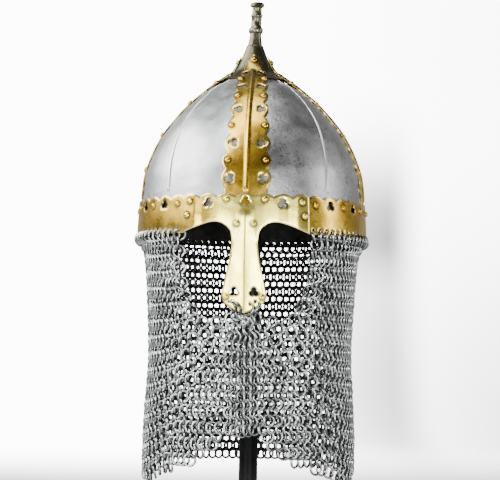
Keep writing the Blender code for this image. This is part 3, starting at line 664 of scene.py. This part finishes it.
# The nasal plate and its rivets take a paler copy of the brass: a painted highlight.
PALE_BRASS = brass_finish("pale_brass", (0.86, 0.69, 0.11), (0.97, 0.84, 0.20))
BRIGHT_STEEL = steel_finish("bright_steel", (0.44, 0.45, 0.45), (0.58, 0.59, 0.59), 0.20, 0.40)
PITTED_STEEL = steel_finish("pitted_steel", (0.40, 0.40, 0.40), (0.56, 0.56, 0.56), 0.9, 0.38)
DARK_STEEL = dark_steel_finish()
MAIL_IRON = mail_finish()
BLACK = black_finish()
PAINTED_INSIDE_SHADE = inside_shade_finish()


# Shapes cut in the sheets

def trefoil(centre, pointing, size):
    """Three round lobes about a centre, each the far side of a circle set out from it."""
    reach = TREFOIL_RADIUS - LOBE_RADIUS
    turn = turns(42)
    off = (turn + pi / 3) % (2 * pi / 3) - pi / 3
    radius = reach * np.cos(off) + np.sqrt(LOBE_RADIUS ** 2 - (reach * np.sin(off)) ** 2)
    return np.stack([centre[0] + size * radius * np.cos(turn + pointing),
                     centre[1] + size * radius * np.sin(turn + pointing)], -1)


def round_hole(centre, radius, sides=10):
    turn = turns(sides)
    return np.stack([centre[0] + radius * np.cos(turn), centre[1] + radius * np.sin(turn)], -1)


def scallops(places, valleys, tops):
    """Lobes between dips: each falls from its top as a power of the way to the dip."""
    edge = []
    for i, (place, top) in enumerate(zip(places, tops)):
        (start, low), (end, high) = valleys[i], valleys[i + 1]
        for t in np.linspace(-1, 1, 15)[:-1]:
            dip, side = (low, start) if t < 0 else (high, end)
            fall = abs(t) ** SCALLOP_POWER
            edge.append((place + abs(t) * (side - place), dip + (top - dip) * (1 - fall)))
    return edge


def even_grid(low, high, step):
    """Points on lines a step apart in both lengths; one line runs through zero."""
    x = np.arange(math.ceil(low[0] / step[0]), math.floor(high[0] / step[0]) + 1) * step[0]
    y = np.arange(math.ceil(low[1] / step[1]), math.floor(high[1] / step[1]) + 1) * step[1]
    return np.stack(np.meshgrid(x, y), -1).reshape(-1, 2)


# The helmet's plates

def band_rows():
    return [(kind, along * TAB_UP, width * BAND_HALF, centre * BAND_HALF, size)
            for kind, along, width, centre, size in BAND_MARKS]


def band(name, order):
    """One band: its pattern bends round the dome about its own centre line."""
    side_angle = order * pi / 2
    rows = band_rows()
    places, widths = [r[1] for r in rows], [r[2] for r in rows]
    valleys = [(places[0] - 0.5 * (places[1] - places[0]), widths[0] - SCALLOP_DEPTH)]
    for i in range(len(rows) - 1):
        valleys.append(((places[i] + places[i + 1]) / 2, min(widths[i:i + 2]) - SCALLOP_DEPTH))
    start = places[-1] + TAB_SHOULDER
    valleys.append((start, SHOULDER_WIDTH))
    right = [(BAND_FOOT, valleys[0][1])] + scallops(places, valleys, widths)
    right += [(start + t * (TAB_UP + TAB_RADIUS - start), SHOULDER_WIDTH * (1 - t ** 1.7) ** 0.8)
              for t in np.linspace(0, 1, 16)]
    outline = [(w, s) for s, w in right] + [(-w, s) for s, w in reversed(right[:-1])]
    holes, heads = [], []
    for kind, up, _, across, size in rows:
        for side in (1, -1):
            if kind == "trefoil":
                holes.append(trefoil((side * across, up), 0.0 if side > 0 else pi, size))
            else:
                heads.append((side * across, up))
    heads.append((0.0, TAB_UP))

    def lift(across, up):
        crest = 0.5 + 0.5 * np.cos(pi * np.clip(across / RIDGE_HALF_WIDTH, -1, 1))
        crest = RIDGE_HEIGHT * crest * ease((RIDGE_TOP - up) / (4 * MM))
        crest = crest * ease((up - RIDGE_FOOT) / (3 * MM))
        return crest + beaten(across, up, 0.07 * MM, order + 3)

    def wrap(across, up, depth):
        return skin(side_angle + across / turn_rate(side_angle, up), up, lift(across, up) - depth)

    grid = even_grid((-BAND_HALF, BAND_FOOT), (BAND_HALF, TAB_UP + TAB_RADIUS),
                          (0.87 * MM, 1.7 * MM))
    # The band is painted darker towards its tab: painted shade.
    metal_sheet(name + "_sheet", outline, holes, grid, wrap, BAND_THICKNESS, BRASS, [name], heads,
                painted_top_shade=lambda up: ease((up / TAB_UP - TOP_SHADE_START) / TOP_SHADE_LENGTH))
    spots = np.array(heads)
    angle = side_angle + spots[:, 0] / turn_rate(side_angle, spots[:, 1])
    return skin(angle, spots[:, 1], 0.0), skin_normal(angle, spots[:, 1])


def brow_band():
    """The rim's band, from one end of the brow plate round the back to the other."""
    lobes = int(round((HALF_RIM - BROW_FIRST) / BROW_PITCH))
    pitch = (HALF_RIM - BROW_FIRST) / lobes
    places = BROW_FIRST + pitch * np.arange(2 * lobes + 1)
    low = BROW_HEIGHT - SCALLOP_DEPTH
    valleys = [(p - pitch / 2, low) for p in places] + [(places[-1] + pitch / 2, low)]
    start = PLATE_HALF - BROW_LAP
    end = 2 * HALF_RIM - start
    top = [(start, low)] + scallops(places, valleys, [BROW_HEIGHT] * len(places))
    top += [valleys[-1], (end, low)]
    clear = PLATE_HALF + FIT
    foot = [(end, EYE_HEIGHT), (2 * HALF_RIM - clear, 0.0), (clear, 0.0), (start, EYE_HEIGHT)]
    mark_up = BROW_HEIGHT - BROW_MARK_DROP
    holes = [trefoil((p, mark_up), pi / 2, 1.0) for p in places[1::2]]
    holes += [round_hole((x - LACING_SHIFT, LACING_HEIGHT), LACING_HOLE) for x in lacing_places()]
    heads = [(p, mark_up) for p in places[0::2]]

    def wrap(across, up, depth):
        return skin(rim_angle(across), up, BROW_LIFT + beaten(across, up, 0.06 * MM, 31) - depth)

    grid = even_grid((start, 0.0), (end, BROW_HEIGHT), (2.1 * MM, 1.8 * MM))
    outline = np.array((top + foot)[::-1])
    metal_sheet("brow_band_sheet", outline, holes, grid, wrap, BROW_THICKNESS, BRASS, ["brow_band"], heads)
    spots = np.array(heads)
    angle = rim_angle(spots[:, 0])
    return skin(angle, spots[:, 1], BROW_LIFT), skin_normal(angle, spots[:, 1])


def lacing_places():
    """Lengths round the rim of the holes that the mail is laced through."""
    return LACING_FIRST + (2 * HALF_RIM - 2 * LACING_FIRST) * np.arange(RIM_RINGS) / (RIM_RINGS - 1)


def tie_places():
    """The nasal's four lacing holes, from one side to the other."""
    return [(side * x * NASAL_HALF, -s * NASAL_LENGTH) for side, x, s in
            ((1, 0.50, 0.853), (1, 0.275, 0.885), (-1, 0.275, 0.885), (-1, 0.50, 0.853))]


def nasal_plate():
    """Brow plate and nasal in one sheet: the right half's outline is laid out and then mirrored."""
    root = NASAL_EDGE[0][1] * NASAL_HALF
    low = BROW_HEIGHT - SCALLOP_DEPTH
    places = [i * PLATE_PITCH for i in range(5)]
    valleys = [(p - PLATE_PITCH / 2, low) for p in places] + [(places[-1] + PLATE_PITCH / 2, low)]
    lobes = scallops(places, valleys, [BROW_HEIGHT] * 5)
    right = [p for p in lobes if 0 <= p[0] < PLATE_HALF - 0.5 * MM]
    share = (PLATE_HALF - places[3]) / (PLATE_PITCH / 2)
    corner = low + SCALLOP_DEPTH * (1 - share ** SCALLOP_POWER)
    right += [(PLATE_HALF, corner), (PLATE_HALF, 0.0)]
    arch = [(PLATE_HALF, 0.0)]
    arch += [(root + a * (PLATE_HALF - root), u * EYE_HEIGHT) for a, u in EYE_ARCH]
    arch += [(w * NASAL_HALF, -s * NASAL_LENGTH) for s, w in NASAL_EDGE] + [(0.0, -NASAL_LENGTH)]
    right += [tuple(p) for p in smooth_curve(arch, 6)[1:]]
    outline = right + [(-x, s) for x, s in reversed(right[1:-1])]

    mark_up = BROW_HEIGHT - BROW_MARK_DROP
    rivets = []
    for side in (1, -1):
        rivets += [(side * places[1], mark_up + 3.0 * MM), (side * places[3], mark_up + 1.5 * MM),
                   (side * (PLATE_HALF - 4.2 * MM), 0.44 * BROW_HEIGHT),
                   (side * 0.63 * root, 0.21 * BROW_HEIGHT),
                   (side * 0.80 * NASAL_HALF, -0.805 * NASAL_LENGTH)]
    holes = [trefoil((0.0, mark_up + 1.5 * MM), pi / 2, 1.0)]
    for side in (1, -1):
        holes.append(trefoil((side * places[2], mark_up), pi / 2, 1.0))
        holes.append(trefoil((side * 0.43 * NASAL_HALF, -0.738 * NASAL_LENGTH), pi / 2, 0.9))
    holes += [round_hole(place, TIE_HOLE) for place in tie_places()]

    def lift(across, up):
        return plate_lift(across) + keel(across, up) + beaten(across, up, 0.06 * MM, 47)

    def wrap(across, up, depth):
        return skin(rim_angle(across), up, lift(across, up) - depth)

    grid = even_grid((-PLATE_HALF, -NASAL_LENGTH), (PLATE_HALF, BROW_HEIGHT),
                          (1.1 * MM, 1.5 * MM))

    # Painted shade: the plate's brass turns darker and more golden towards its ends.
    def painted_end_shade(across):
        return sum(share * ease((side * across - start * MM) / (length * MM))
                   for side, start, length, share in PAINTED_END_SHADE)

    metal_sheet("nasal_plate_sheet", np.array(outline), holes, grid, wrap, PLATE_THICKNESS, PALE_BRASS,
                ["nasal_plate"], rivets, painted_end_shade)
    spots = np.array(rivets)
    angle = rim_angle(spots[:, 0])
    seat = skin(angle, spots[:, 1], plate_lift(spots[:, 0]) + keel(*spots.T))
    return seat, skin_normal(angle, spots[:, 1])


def skull_panel(name, order, finish):
    """Quarter panel: columns follow the embossed rib, a round-backed bead that thins towards the top."""
    seam = order * pi / 2
    ups = np.unique(np.concatenate([
        np.linspace(PANEL_FOOT, PANEL_HEAD, 64), RIB_START + np.array([-1.6, -1.1, -0.6, -0.1, 0.5]) * MM]))
    rise = ease((ups - RIB_START) / (RIB_END - RIB_START))
    rate = turn_rate(seam + pi / 4, ups)
    edge = 0.5 * (FIT + LAYER_GAP) / turn_rate(seam, ups)
    mirrored = math.cos(seam + pi / 4) * math.sin(seam + pi / 4) < 0
    centre = np.radians(RIB_ANGLE + RIB_TURN * rise)
    centre = seam + (pi / 2 - centre if mirrored else centre)
    fade = ease((ups - RIB_START + 1.4 * MM) / (1.2 * MM)) * (1 - RIB_LOWERING * rise)
    wide = RIB_HALF_WIDTH * (1 - RIB_THINNING * rise) / rate
    share = np.linspace(0, 1, 23)[:, None]
    across_rib = np.linspace(-1.15, 1.15, 15)[:, None]
    first, last = seam + edge, seam + pi / 2 - edge
    angles = np.vstack([first + (centre - 1.6 * wide - first) * share, centre + wide * across_rib,
                        centre + 1.6 * wide + (last - centre - 1.6 * wide) * share]).T
    profile = np.sqrt(np.clip(1 - across_rib ** 2, 0, 1)) ** 1.3
    bead = np.vstack([np.zeros((23, 1)), profile, np.zeros((23, 1))]).T * RIB_HEIGHT * fade[:, None]
    up = np.repeat(ups[:, None], angles.shape[1], axis=1)
    seed = int(round(seam * 100)) + 5
    waves = beaten((angles - seam) * 0.08, up, 0.10 * MM, seed)
    lift = bead + waves - panel_depth(up)
    outer = skin(angles, up, lift).reshape(-1, 3)
    inner = skin(angles, up, lift - PANEL_THICKNESS).reshape(-1, 3)
    sheet = grid_faces(*angles.shape)
    verts, faces = walled(outer, inner, sheet)
    from_seam = np.minimum(angles - seam, seam + pi / 2 - angles) * rate[:, None]
    # Painted shade: the under mark darkens the panel where the bands and the brow band lie over it.
    rows = np.array([row[1:3] for row in band_rows()])
    edge_at = np.interp(ups, rows[:, 0], rows[:, 1])[:, None] - SCALLOP_DEPTH
    under = np.maximum(1 - ease((from_seam - edge_at + 1.5 * MM) / (2 * MM)),
                       1 - ease((up - BROW_HEIGHT + SCALLOP_DEPTH + 1.5 * MM) / (2 * MM)))
    # The crest mark paints a highlight along the rib.
    piece(name + "_sheet", verts, faces, finish, [name],
          marks={"under": np.tile(under.ravel(), 2), "crest": np.tile((bead / RIB_HEIGHT).ravel(), 2)},
          painted_inside_span=(len(sheet), 2 * len(sheet)))


def rivet_heads(name, seats, finish, nodes):
    """Domed heads: one low round profile carried about each seat's normal."""
    points = np.vstack([s[0] for s in seats])
    normals = np.vstack([s[1] for s in seats])
    side = unit(np.cross(normals, [0.0, 0.0, 1.0]))
    other = np.cross(normals, side)
    turn = turns(18)
    dome = np.radians([8, 22, 38, 54, 70, 84])
    radius = np.concatenate([RIVET_RADIUS * np.sin(dome), [RIVET_RADIUS, RIVET_RADIUS * 0.96]])
    height = RIVET_HEIGHT * np.concatenate([np.cos(dome) ** 0.85, [0.10, -0.3]])
    rng = np.random.default_rng(11)
    size = rng.uniform(0.94, 1.05, len(points))[:, None, None, None]
    ring = side[:, None, None] * np.cos(turn)[:, None] + other[:, None, None] * np.sin(turn)[:, None]
    ring = ring * radius[:, None, None] * size
    body = points[:, None, None] + ring + normals[:, None, None] * height[:, None, None]
    crown = points + normals * RIVET_HEIGHT
    count = len(radius) * len(turn)
    verts = np.concatenate([body.reshape(len(points), -1, 3), crown[:, None],
                            (points - normals * 0.3 * RIVET_HEIGHT)[:, None]], 1)
    quads = grid_faces(len(radius), len(turn), True)[:, ::-1]
    around = np.arange(len(turn))
    after = (around + 1) % len(turn)
    cap = np.stack([np.full(len(turn), count), around, after], -1)
    base = (len(radius) - 1) * len(turn)
    seat = np.stack([np.full(len(turn), count + 1), base + after, base + around], -1)
    faces = []
    for number in range(len(points)):
        shift = number * (count + 2)
        faces += [*(quads + shift), *(cap + shift), *(seat + shift)]
    piece(name, verts.reshape(-1, 3), faces, finish, nodes, sharp=60.0)


def profile_point(up, depth):
    point = skin(pi / 2, up, -depth)
    return float(point[0]), float(point[2])


def finial():
    """The socket, a cone that follows the dome's neck, and the turned spire on it."""
    top = RIM_HEIGHT + DOME_HEIGHT - FIT
    ups = np.linspace(PROFILE_LENGTH - 1 * MM, SOCKET_FOOT, 26)
    side = [profile_point(u, SOCKET_DEPTH) for u in ups]
    outer = [(side[0][0] - 0.4 * MM, top), (side[0][0], top - 0.5 * MM)]
    outer += [p for p in side if p[1] < top - 1 * MM]
    outer[-1] = (outer[-1][0] - 0.25 * MM, outer[-1][1])
    inner = [profile_point(u, SOCKET_DEPTH + SOCKET_THICKNESS) for u in ups[::-1]]
    inner = [p for p in inner if p[1] < top - SOCKET_CAP]
    inner += [(4.0 * MM, top - SOCKET_CAP), (SOCKET_HOLE, top - SOCKET_CAP), (SOCKET_HOLE, top)]
    turned("finial_socket_cone", outer + inner, 64, DARK_STEEL, ["finial_socket"])
    foot = RIM_HEIGHT + DOME_HEIGHT
    outline = [(w * SPIRE_RADIUS, foot + h * SPIRE_HEIGHT) for h, w in SPIRE_OUTLINE]
    turned("finial_spire_turned", outline, 48, DARK_STEEL, ["finial_spire"],
           SPIRE_LEAN, foot, 50.0)


def stand():
    """The base, the head rest under the dome, and the post between them."""
    rounding = 2.0 * MM
    flat, side = BASE_RADIUS - rounding, BASE_THICKNESS - rounding
    arc = np.radians(np.linspace(90, 0, 7))
    outline = [(0.0, BASE_THICKNESS), (0.97 * flat, BASE_THICKNESS)]
    outline += [(flat + rounding * math.cos(a), side + rounding * math.sin(a)) for a in arc]
    outline += [(BASE_RADIUS, 0.4 * MM), (BASE_RADIUS - 0.4 * MM, 0.0), (0.0, 0.0)]
    turned("stand_base_disc", outline, 96, BLACK, ["stand_base"])
    crown = [profile_point(u, float(panel_depth(u)) + PANEL_THICKNESS + REST_GAP)
             for u in np.linspace(REST_HIGH, REST_LOW, 14)]
    under = crown[-1][1] - REST_THICKNESS
    boss = under - BOSS_DEPTH
    outline = [(0.0, crown[0][1])] + crown + [(crown[-1][0], under), (BOSS_RADIUS + 1.5 * MM, under)]
    outline += [(BOSS_RADIUS, under - 1.5 * MM), (BOSS_RADIUS, boss), (0.0, boss)]
    turned("stand_cap_turned", outline, 64, BLACK, ["stand_cap"])
    low, high = BASE_THICKNESS + FIT, boss - FIT
    heights = np.linspace(high, low, 9)
    outline = [(0.0, high)] + [(POST_RADIUS, h) for h in heights] + [(0.0, low)]
    turned("stand_post_turned", outline, 48, BLACK, ["stand_post"])


# The mail

def mail_net():
    """Where each ring hangs: linked centres kept within reach of each other under their weight.

    Rings are numbered on a lattice of rows and half-columns; neighbours a row apart and half a
    column to either side are linked.  The front is open above OPENING_ROWS except at the nasal.
    """
    last_rim = 2 * (RIM_RINGS - 1)
    width = 2 * FULL_COLUMNS
    row, col = np.indices((MAIL_ROWS, width))
    middle = last_rim + (width - last_rim) // 2
    there = ((row + col) % 2 == 0) & ~((row < OPENING_ROWS) & (col > last_rim))
    tie = (row == OPENING_ROWS - 1) & ((row + col) % 2 == 0) & (np.abs(col - middle) <= 3)
    there |= tie
    aside = np.abs(col - middle)
    last_row = np.zeros_like(row)
    for columns, last in HEM:
        last_row = np.where(np.minimum(aside, width - aside) <= columns, last, last_row)
    there &= row <= last_row
    number = np.where(there, np.cumsum(there).reshape(there.shape) - 1, -1)
    rows, cols = row[there], col[there]

    rim = lacing_places()
    rim_turn = np.where(rim <= HALF_RIM, rim_angle(rim), 2 * pi - rim_angle(2 * HALF_RIM - rim))
    turn = np.interp(cols, np.append(2 * np.arange(RIM_RINGS), width),
                     np.append(rim_turn, 2 * pi + rim_turn[0]))
    depth = FIRST_DEPTH + rows * ROW_DROP
    draw = np.array(MAIL_DRAW) * MM

    def reach(depth, turn):
        """Half-width at a depth, and the reach of that turn as a share of it."""
        half = np.interp(depth, draw[:, 0], draw[:, 1])
        return half, 0.5 * (MAIL_FRONT + MAIL_BACK) + 0.5 * (MAIL_FRONT - MAIL_BACK) * np.cos(turn)

    half, oval = reach(depth, turn)
    place = np.stack([half * np.sin(turn), -half * oval * np.cos(turn), -depth], -1)
    held = rows == 0
    top = skin(turn[held], 0.0, -LACED_DEPTH)
    place[held] = top - [0, 0, RIM_HEIGHT + LACED_DEPTH]
    ties = tie[there]
    tie_spots = np.array(tie_places())
    tied = skin(rim_angle(tie_spots[:, 0]), tie_spots[:, 1] - TIE_DROP, TIE_LIFT)
    place[ties] = tied - [0, 0, RIM_HEIGHT]
    held |= ties
    free = np.where(held, 0.0, 1.0)[:, None]

    batches = []
    for step in (-1, 1):
        above, below = number[:-1], np.roll(number, -step, axis=1)[1:]
        for parity in (0, 1):
            pick = (above >= 0) & (below >= 0) & (row[:-1] % 2 == parity)
            batches.append((True, above[pick], below[pick]))
    beside = np.roll(number, -2, axis=1)
    for parity in (0, 1):
        pick = (number >= 0) & (beside >= 0) & ((col // 2) % 2 == parity)
        batches.append((False, number[pick], beside[pick]))
    strip = (np.abs(cols - middle) <= STRIP_HALF) & (rows >= OPENING_ROWS)

    steps = 3000
    for step in range(steps):
        place[:, 2:] -= (0.10 - 0.09 * step / steps) * MM * free
        for linked, a, b in batches:
            way = place[b] - place[a]
            length = norm(way, axis=1)
            if linked:
                excess = length - np.clip(length, LINK_NEAR, LINK_REACH)
            else:
                drift = 0.05 * np.minimum(length - ROW_EASY, 0)
                excess = np.where(length < RING_CLEAR, length - RING_CLEAR, drift)
                excess = np.where(length > ROW_REACH, length - ROW_REACH, excess)
                excess = np.where(strip[a] & strip[b], 0.3 * (length - STRIP_PITCH), excess)
            pull = way * (excess / length)[:, None] / np.maximum(free[a] + free[b], 1.0)
            place[a] += pull * free[a]
            place[b] -= pull * free[b]
        round_turn = np.arctan2(place[:, 0], -place[:, 1] / MAIL_OVAL)
        half, oval = reach(-place[:, 2], round_turn)
        plan = np.stack([place[:, 0], -place[:, 1] / oval], -1)
        plan *= (half / norm(plan, axis=1))[:, None]
        target = np.stack([plan[:, 0], -plan[:, 1] * oval], -1)
        place[:, :2] += 0.25 * free * (target - place[:, :2])
    place[:, 2] += RIM_HEIGHT
    return place, rows, batches, ties


def mail():
    """Every ring is a round wire; its plane leans one way in even rows and the other in odd rows."""
    place, rows, batches, ties = mail_net()
    count = len(place)
    down, links = np.zeros((count, 3)), np.zeros(count)
    pitch, beside = np.zeros(count), np.zeros(count)
    for linked, a, b in batches:
        way = place[b] - place[a]
        for end in (a, b):
            if linked:
                np.add.at(down, end, way)
                np.add.at(links, end, 1)
            else:
                np.add.at(pitch, end, norm(way, axis=1))
                np.add.at(beside, end, 1)
    pitch = np.where(beside > 0, pitch / np.maximum(beside, 1), ROW_EASY)
    out = unit(np.stack([place[:, 0], place[:, 1] / OVAL_SQUARED, np.zeros(count)], -1))
    down = down + np.where(links == 0, 1.0, 0.0)[:, None] * [0, 0, -1]
    down = unit(down - out * (down * out).sum(1, keepdims=True))
    side = np.cross(out, down)
    rng = np.random.default_rng(7)
    laced = (rows == 0) | ties
    lean = np.arcsin(np.clip(LEAN_STEP / pitch, 0.34, 0.60))
    lean = np.where(laced, LACED_LEAN, lean) + rng.normal(0, LEAN_SCATTER, count)
    lean *= np.where(rows % 2 == 0, 1, -1)
    tip = rng.normal(0, TIP_SCATTER, count)
    axis = out * np.cos(lean)[:, None] + side * np.sin(lean)[:, None]
    axis = unit(axis + down * np.sin(tip)[:, None])
    one = unit(np.cross(axis, side))
    two = np.cross(axis, one)
    place = place + rng.normal(0, PLACE_SCATTER, (count, 3))

    round_ring = turns(RING_SIDES)[:, None]
    round_wire = turns(WIRE_SIDES)
    away = (RING_RADIUS + WIRE_RADIUS * np.cos(round_wire))[:, None]
    aslant = (WIRE_RADIUS * np.sin(round_wire))[:, None]
    radial = one[:, None] * np.cos(round_ring) + two[:, None] * np.sin(round_ring)
    verts = place[:, None, None] + radial[:, :, None] * away + axis[:, None, None] * aslant
    # Painted shade: the side of each wire that faces into the helmet is darkened.
    facing = ((radial * out[:, None]).sum(-1)[:, :, None] * np.cos(round_wire)
              + (axis * out).sum(-1)[:, None, None] * np.sin(round_wire))
    painted_inner_shade = ease(0.5 - 1.6 * facing)
    a = np.arange(RING_SIDES)[:, None] * WIRE_SIDES
    b = np.arange(WIRE_SIDES)[None, :]
    next_a, next_b = np.roll(a, -1), (b + 1) % WIRE_SIDES
    quads = np.stack([a + b, a + next_b, next_a + next_b, next_a + b], -1).reshape(-1, 4)
    middle = (rows >= UPPER_ROWS) & (rows < MIDDLE_ROWS)
    groups = [("mail_lacing", laced), ("mail_upper", ~laced & (rows < UPPER_ROWS)),
              ("mail_middle", middle), ("mail_lower", rows >= MIDDLE_ROWS)]
    for name, chosen in groups:
        rings = verts[chosen]
        shift = np.arange(len(rings))[:, None, None] * RING_SIDES * WIRE_SIDES
        faces = (quads[None] + shift).reshape(-1, 4)
        piece(name, rings.reshape(-1, 3), faces.tolist(), MAIL_IRON, ["mail_curtain"],
              sharp=180.0, marks={"painted_inner_shade": painted_inner_shade[chosen].ravel()})


# Stage, camera and light

def stage():
    """A pale floor that sweeps up into a wall far behind the stand.

    The wall's glow is painted duller to the right and low down, with a painted soft shadow beside the
    stand.
    """
    arc = np.linspace(0, pi / 2, 24)
    depth = np.concatenate([[FLOOR_NEAR], WALL_AWAY + FLOOR_SWEEP * np.sin(arc), [WALL_AWAY + FLOOR_SWEEP]])
    height = np.concatenate([[0.0], FLOOR_SWEEP * (1 - np.cos(arc)), [WALL_TOP]])
    width = np.linspace(-FLOOR_HALF, FLOOR_HALF, 12)
    verts = np.stack([np.repeat(width[None], len(depth), 0), np.repeat(depth[:, None], len(width), 1),
                      np.repeat(height[:, None], len(width), 1)], -1).reshape(-1, 3)
    mesh = bpy.data.meshes.new("floor")
    mesh.from_pydata(verts.tolist(), [], grid_faces(len(depth), len(width)).tolist())
    mesh.shade_smooth()
    n = Nodes("pale_floor")
    split = n.new("SeparateXYZ")
    n.put(split.inputs[0], n.place)
    across, away, height = (split.outputs[k] for k in range(3))
    aside = n.spread(across, -0.30, 0.60)
    low = n.spread(height, 0.75, -0.10)
    shade = n.times(aside, n.maths("ADD", 0.35, n.times(low, 0.65)))
    shade = n.times(shade, 0.83)
    # A painted soft shadow on the wall beside the stand.
    band = n.times(n.spread(across, 0.31, 0.20), n.spread(across, 0.0, 0.13))
    band = n.times(band, n.spread(away, 0.4, 2.3))
    shadow = n.times(band, n.spread(height, 0.85, 0.50))
    shade = n.maths("ADD", shade, n.times(shadow, n.spread(height, 0.28, 0.46, 0.47, 0.73)))
    n.put(n.shader.inputs["Emission Color"], n.mix(shade, (1.0, 1.0, 1.0), (0.04, 0.04, 0.042)))
    seen = n.new("LightPath").outputs["Is Camera Ray"]
    glow = n.maths("ADD", WALL_LIGHT, n.times(seen, WALL_SEEN))
    n.put(n.shader.inputs["Emission Strength"], n.times(n.spread(away, 0.5, 1.4), glow))
    mesh.materials.append(n.finish((0.5, 0.5, 0.5), 0.9, 0.0))
    placed("floor", mesh)


def camera():
    """Level with the middle of the mail, three degrees round to the right, with a slight roll."""
    data = bpy.data.cameras.new("camera")
    data.lens, data.sensor_width = 115.5, 36.0
    data.shift_x, data.shift_y = -0.0003, 0.198
    data.clip_start, data.clip_end = 0.05, 30.0
    obj = placed("camera", data)
    turn = math.radians(CAMERA_TURN)
    obj.location = (CAMERA_AWAY * math.sin(turn), -CAMERA_AWAY * math.cos(turn), RIM_HEIGHT - CAMERA_DROP)
    obj.rotation_euler = (pi / 2, 0.0, turn)
    obj.rotation_euler.rotate_axis("Z", math.radians(CAMERA_ROLL))
    bpy.context.scene.camera = obj


def lamp(name, place, aim_height, size, power):
    data = bpy.data.lights.new(name, "AREA")
    data.shape, data.size, data.size_y = "RECTANGLE", size[0], size[1]
    data.energy = power
    obj = placed(name, data)
    obj.location = place
    obj.rotation_euler = (Vector((0, 0, aim_height)) - obj.location).to_track_quat("-Z", "Y").to_euler()


def lights():
    """A large soft key from the left, two low in front, a narrow strip on the right and one overhead."""
    lamp("key_left", (-1.35, -0.10, 1.20), 0.34, (1.9, 1.1), 62.0)
    lamp("front_left", (-0.80, -1.70, 0.32), 0.25, (0.50, 0.70), 24.0)
    lamp("front_right", (0.80, -1.70, 0.30), 0.25, (0.50, 0.60), 24.0)
    lamp("strip_right", (1.5, 0.0, 0.6), 0.30, (0.25, 1.2), 10.0)
    lamp("top", (-0.28, -0.30, 1.75), 0.40, (0.45, 1.3), 17.0)
    world = bpy.data.worlds.new("studio")
    world.use_nodes = True
    nodes, links = world.node_tree.nodes, world.node_tree.links
    nodes["Background"].inputs["Color"].default_value = (0.95, 0.98, 1.0, 1.0)
    seen = nodes.new("ShaderNodeLightPath").outputs["Is Camera Ray"]
    strength = nodes.new("ShaderNodeMapRange")
    strength.inputs["To Min"].default_value = WORLD_LIGHT
    strength.inputs["To Max"].default_value = WORLD_SEEN
    links.new(seen, strength.inputs["Value"])
    links.new(strength.outputs["Result"], nodes["Background"].inputs["Strength"])
    bpy.context.scene.world = world


# Build

for number, corner in enumerate(("front_right", "back_right", "back_left", "front_left")):
    skull_panel("skull_panel_" + corner, number, PITTED_STEEL if "right" in corner else BRIGHT_STEEL)
seats = [band(side + "_band", number) for number, side in enumerate(("front", "right", "back", "left"))]
seats.append(brow_band())
band_nodes = [f"front_band_rivet_{k}" for k in range(1, 9)] + [f"tab_rivet_{k}" for k in range(1, 5)]
plate_seats = nasal_plate()
rivet_heads("band_rivets", seats, BRASS, band_nodes)
rivet_heads("plate_rivets", [plate_seats], PALE_BRASS, [f"nasal_plate_rivet_{k}" for k in range(1, 11)])
finial()
stand()
mail()
stage()
camera()
lights()
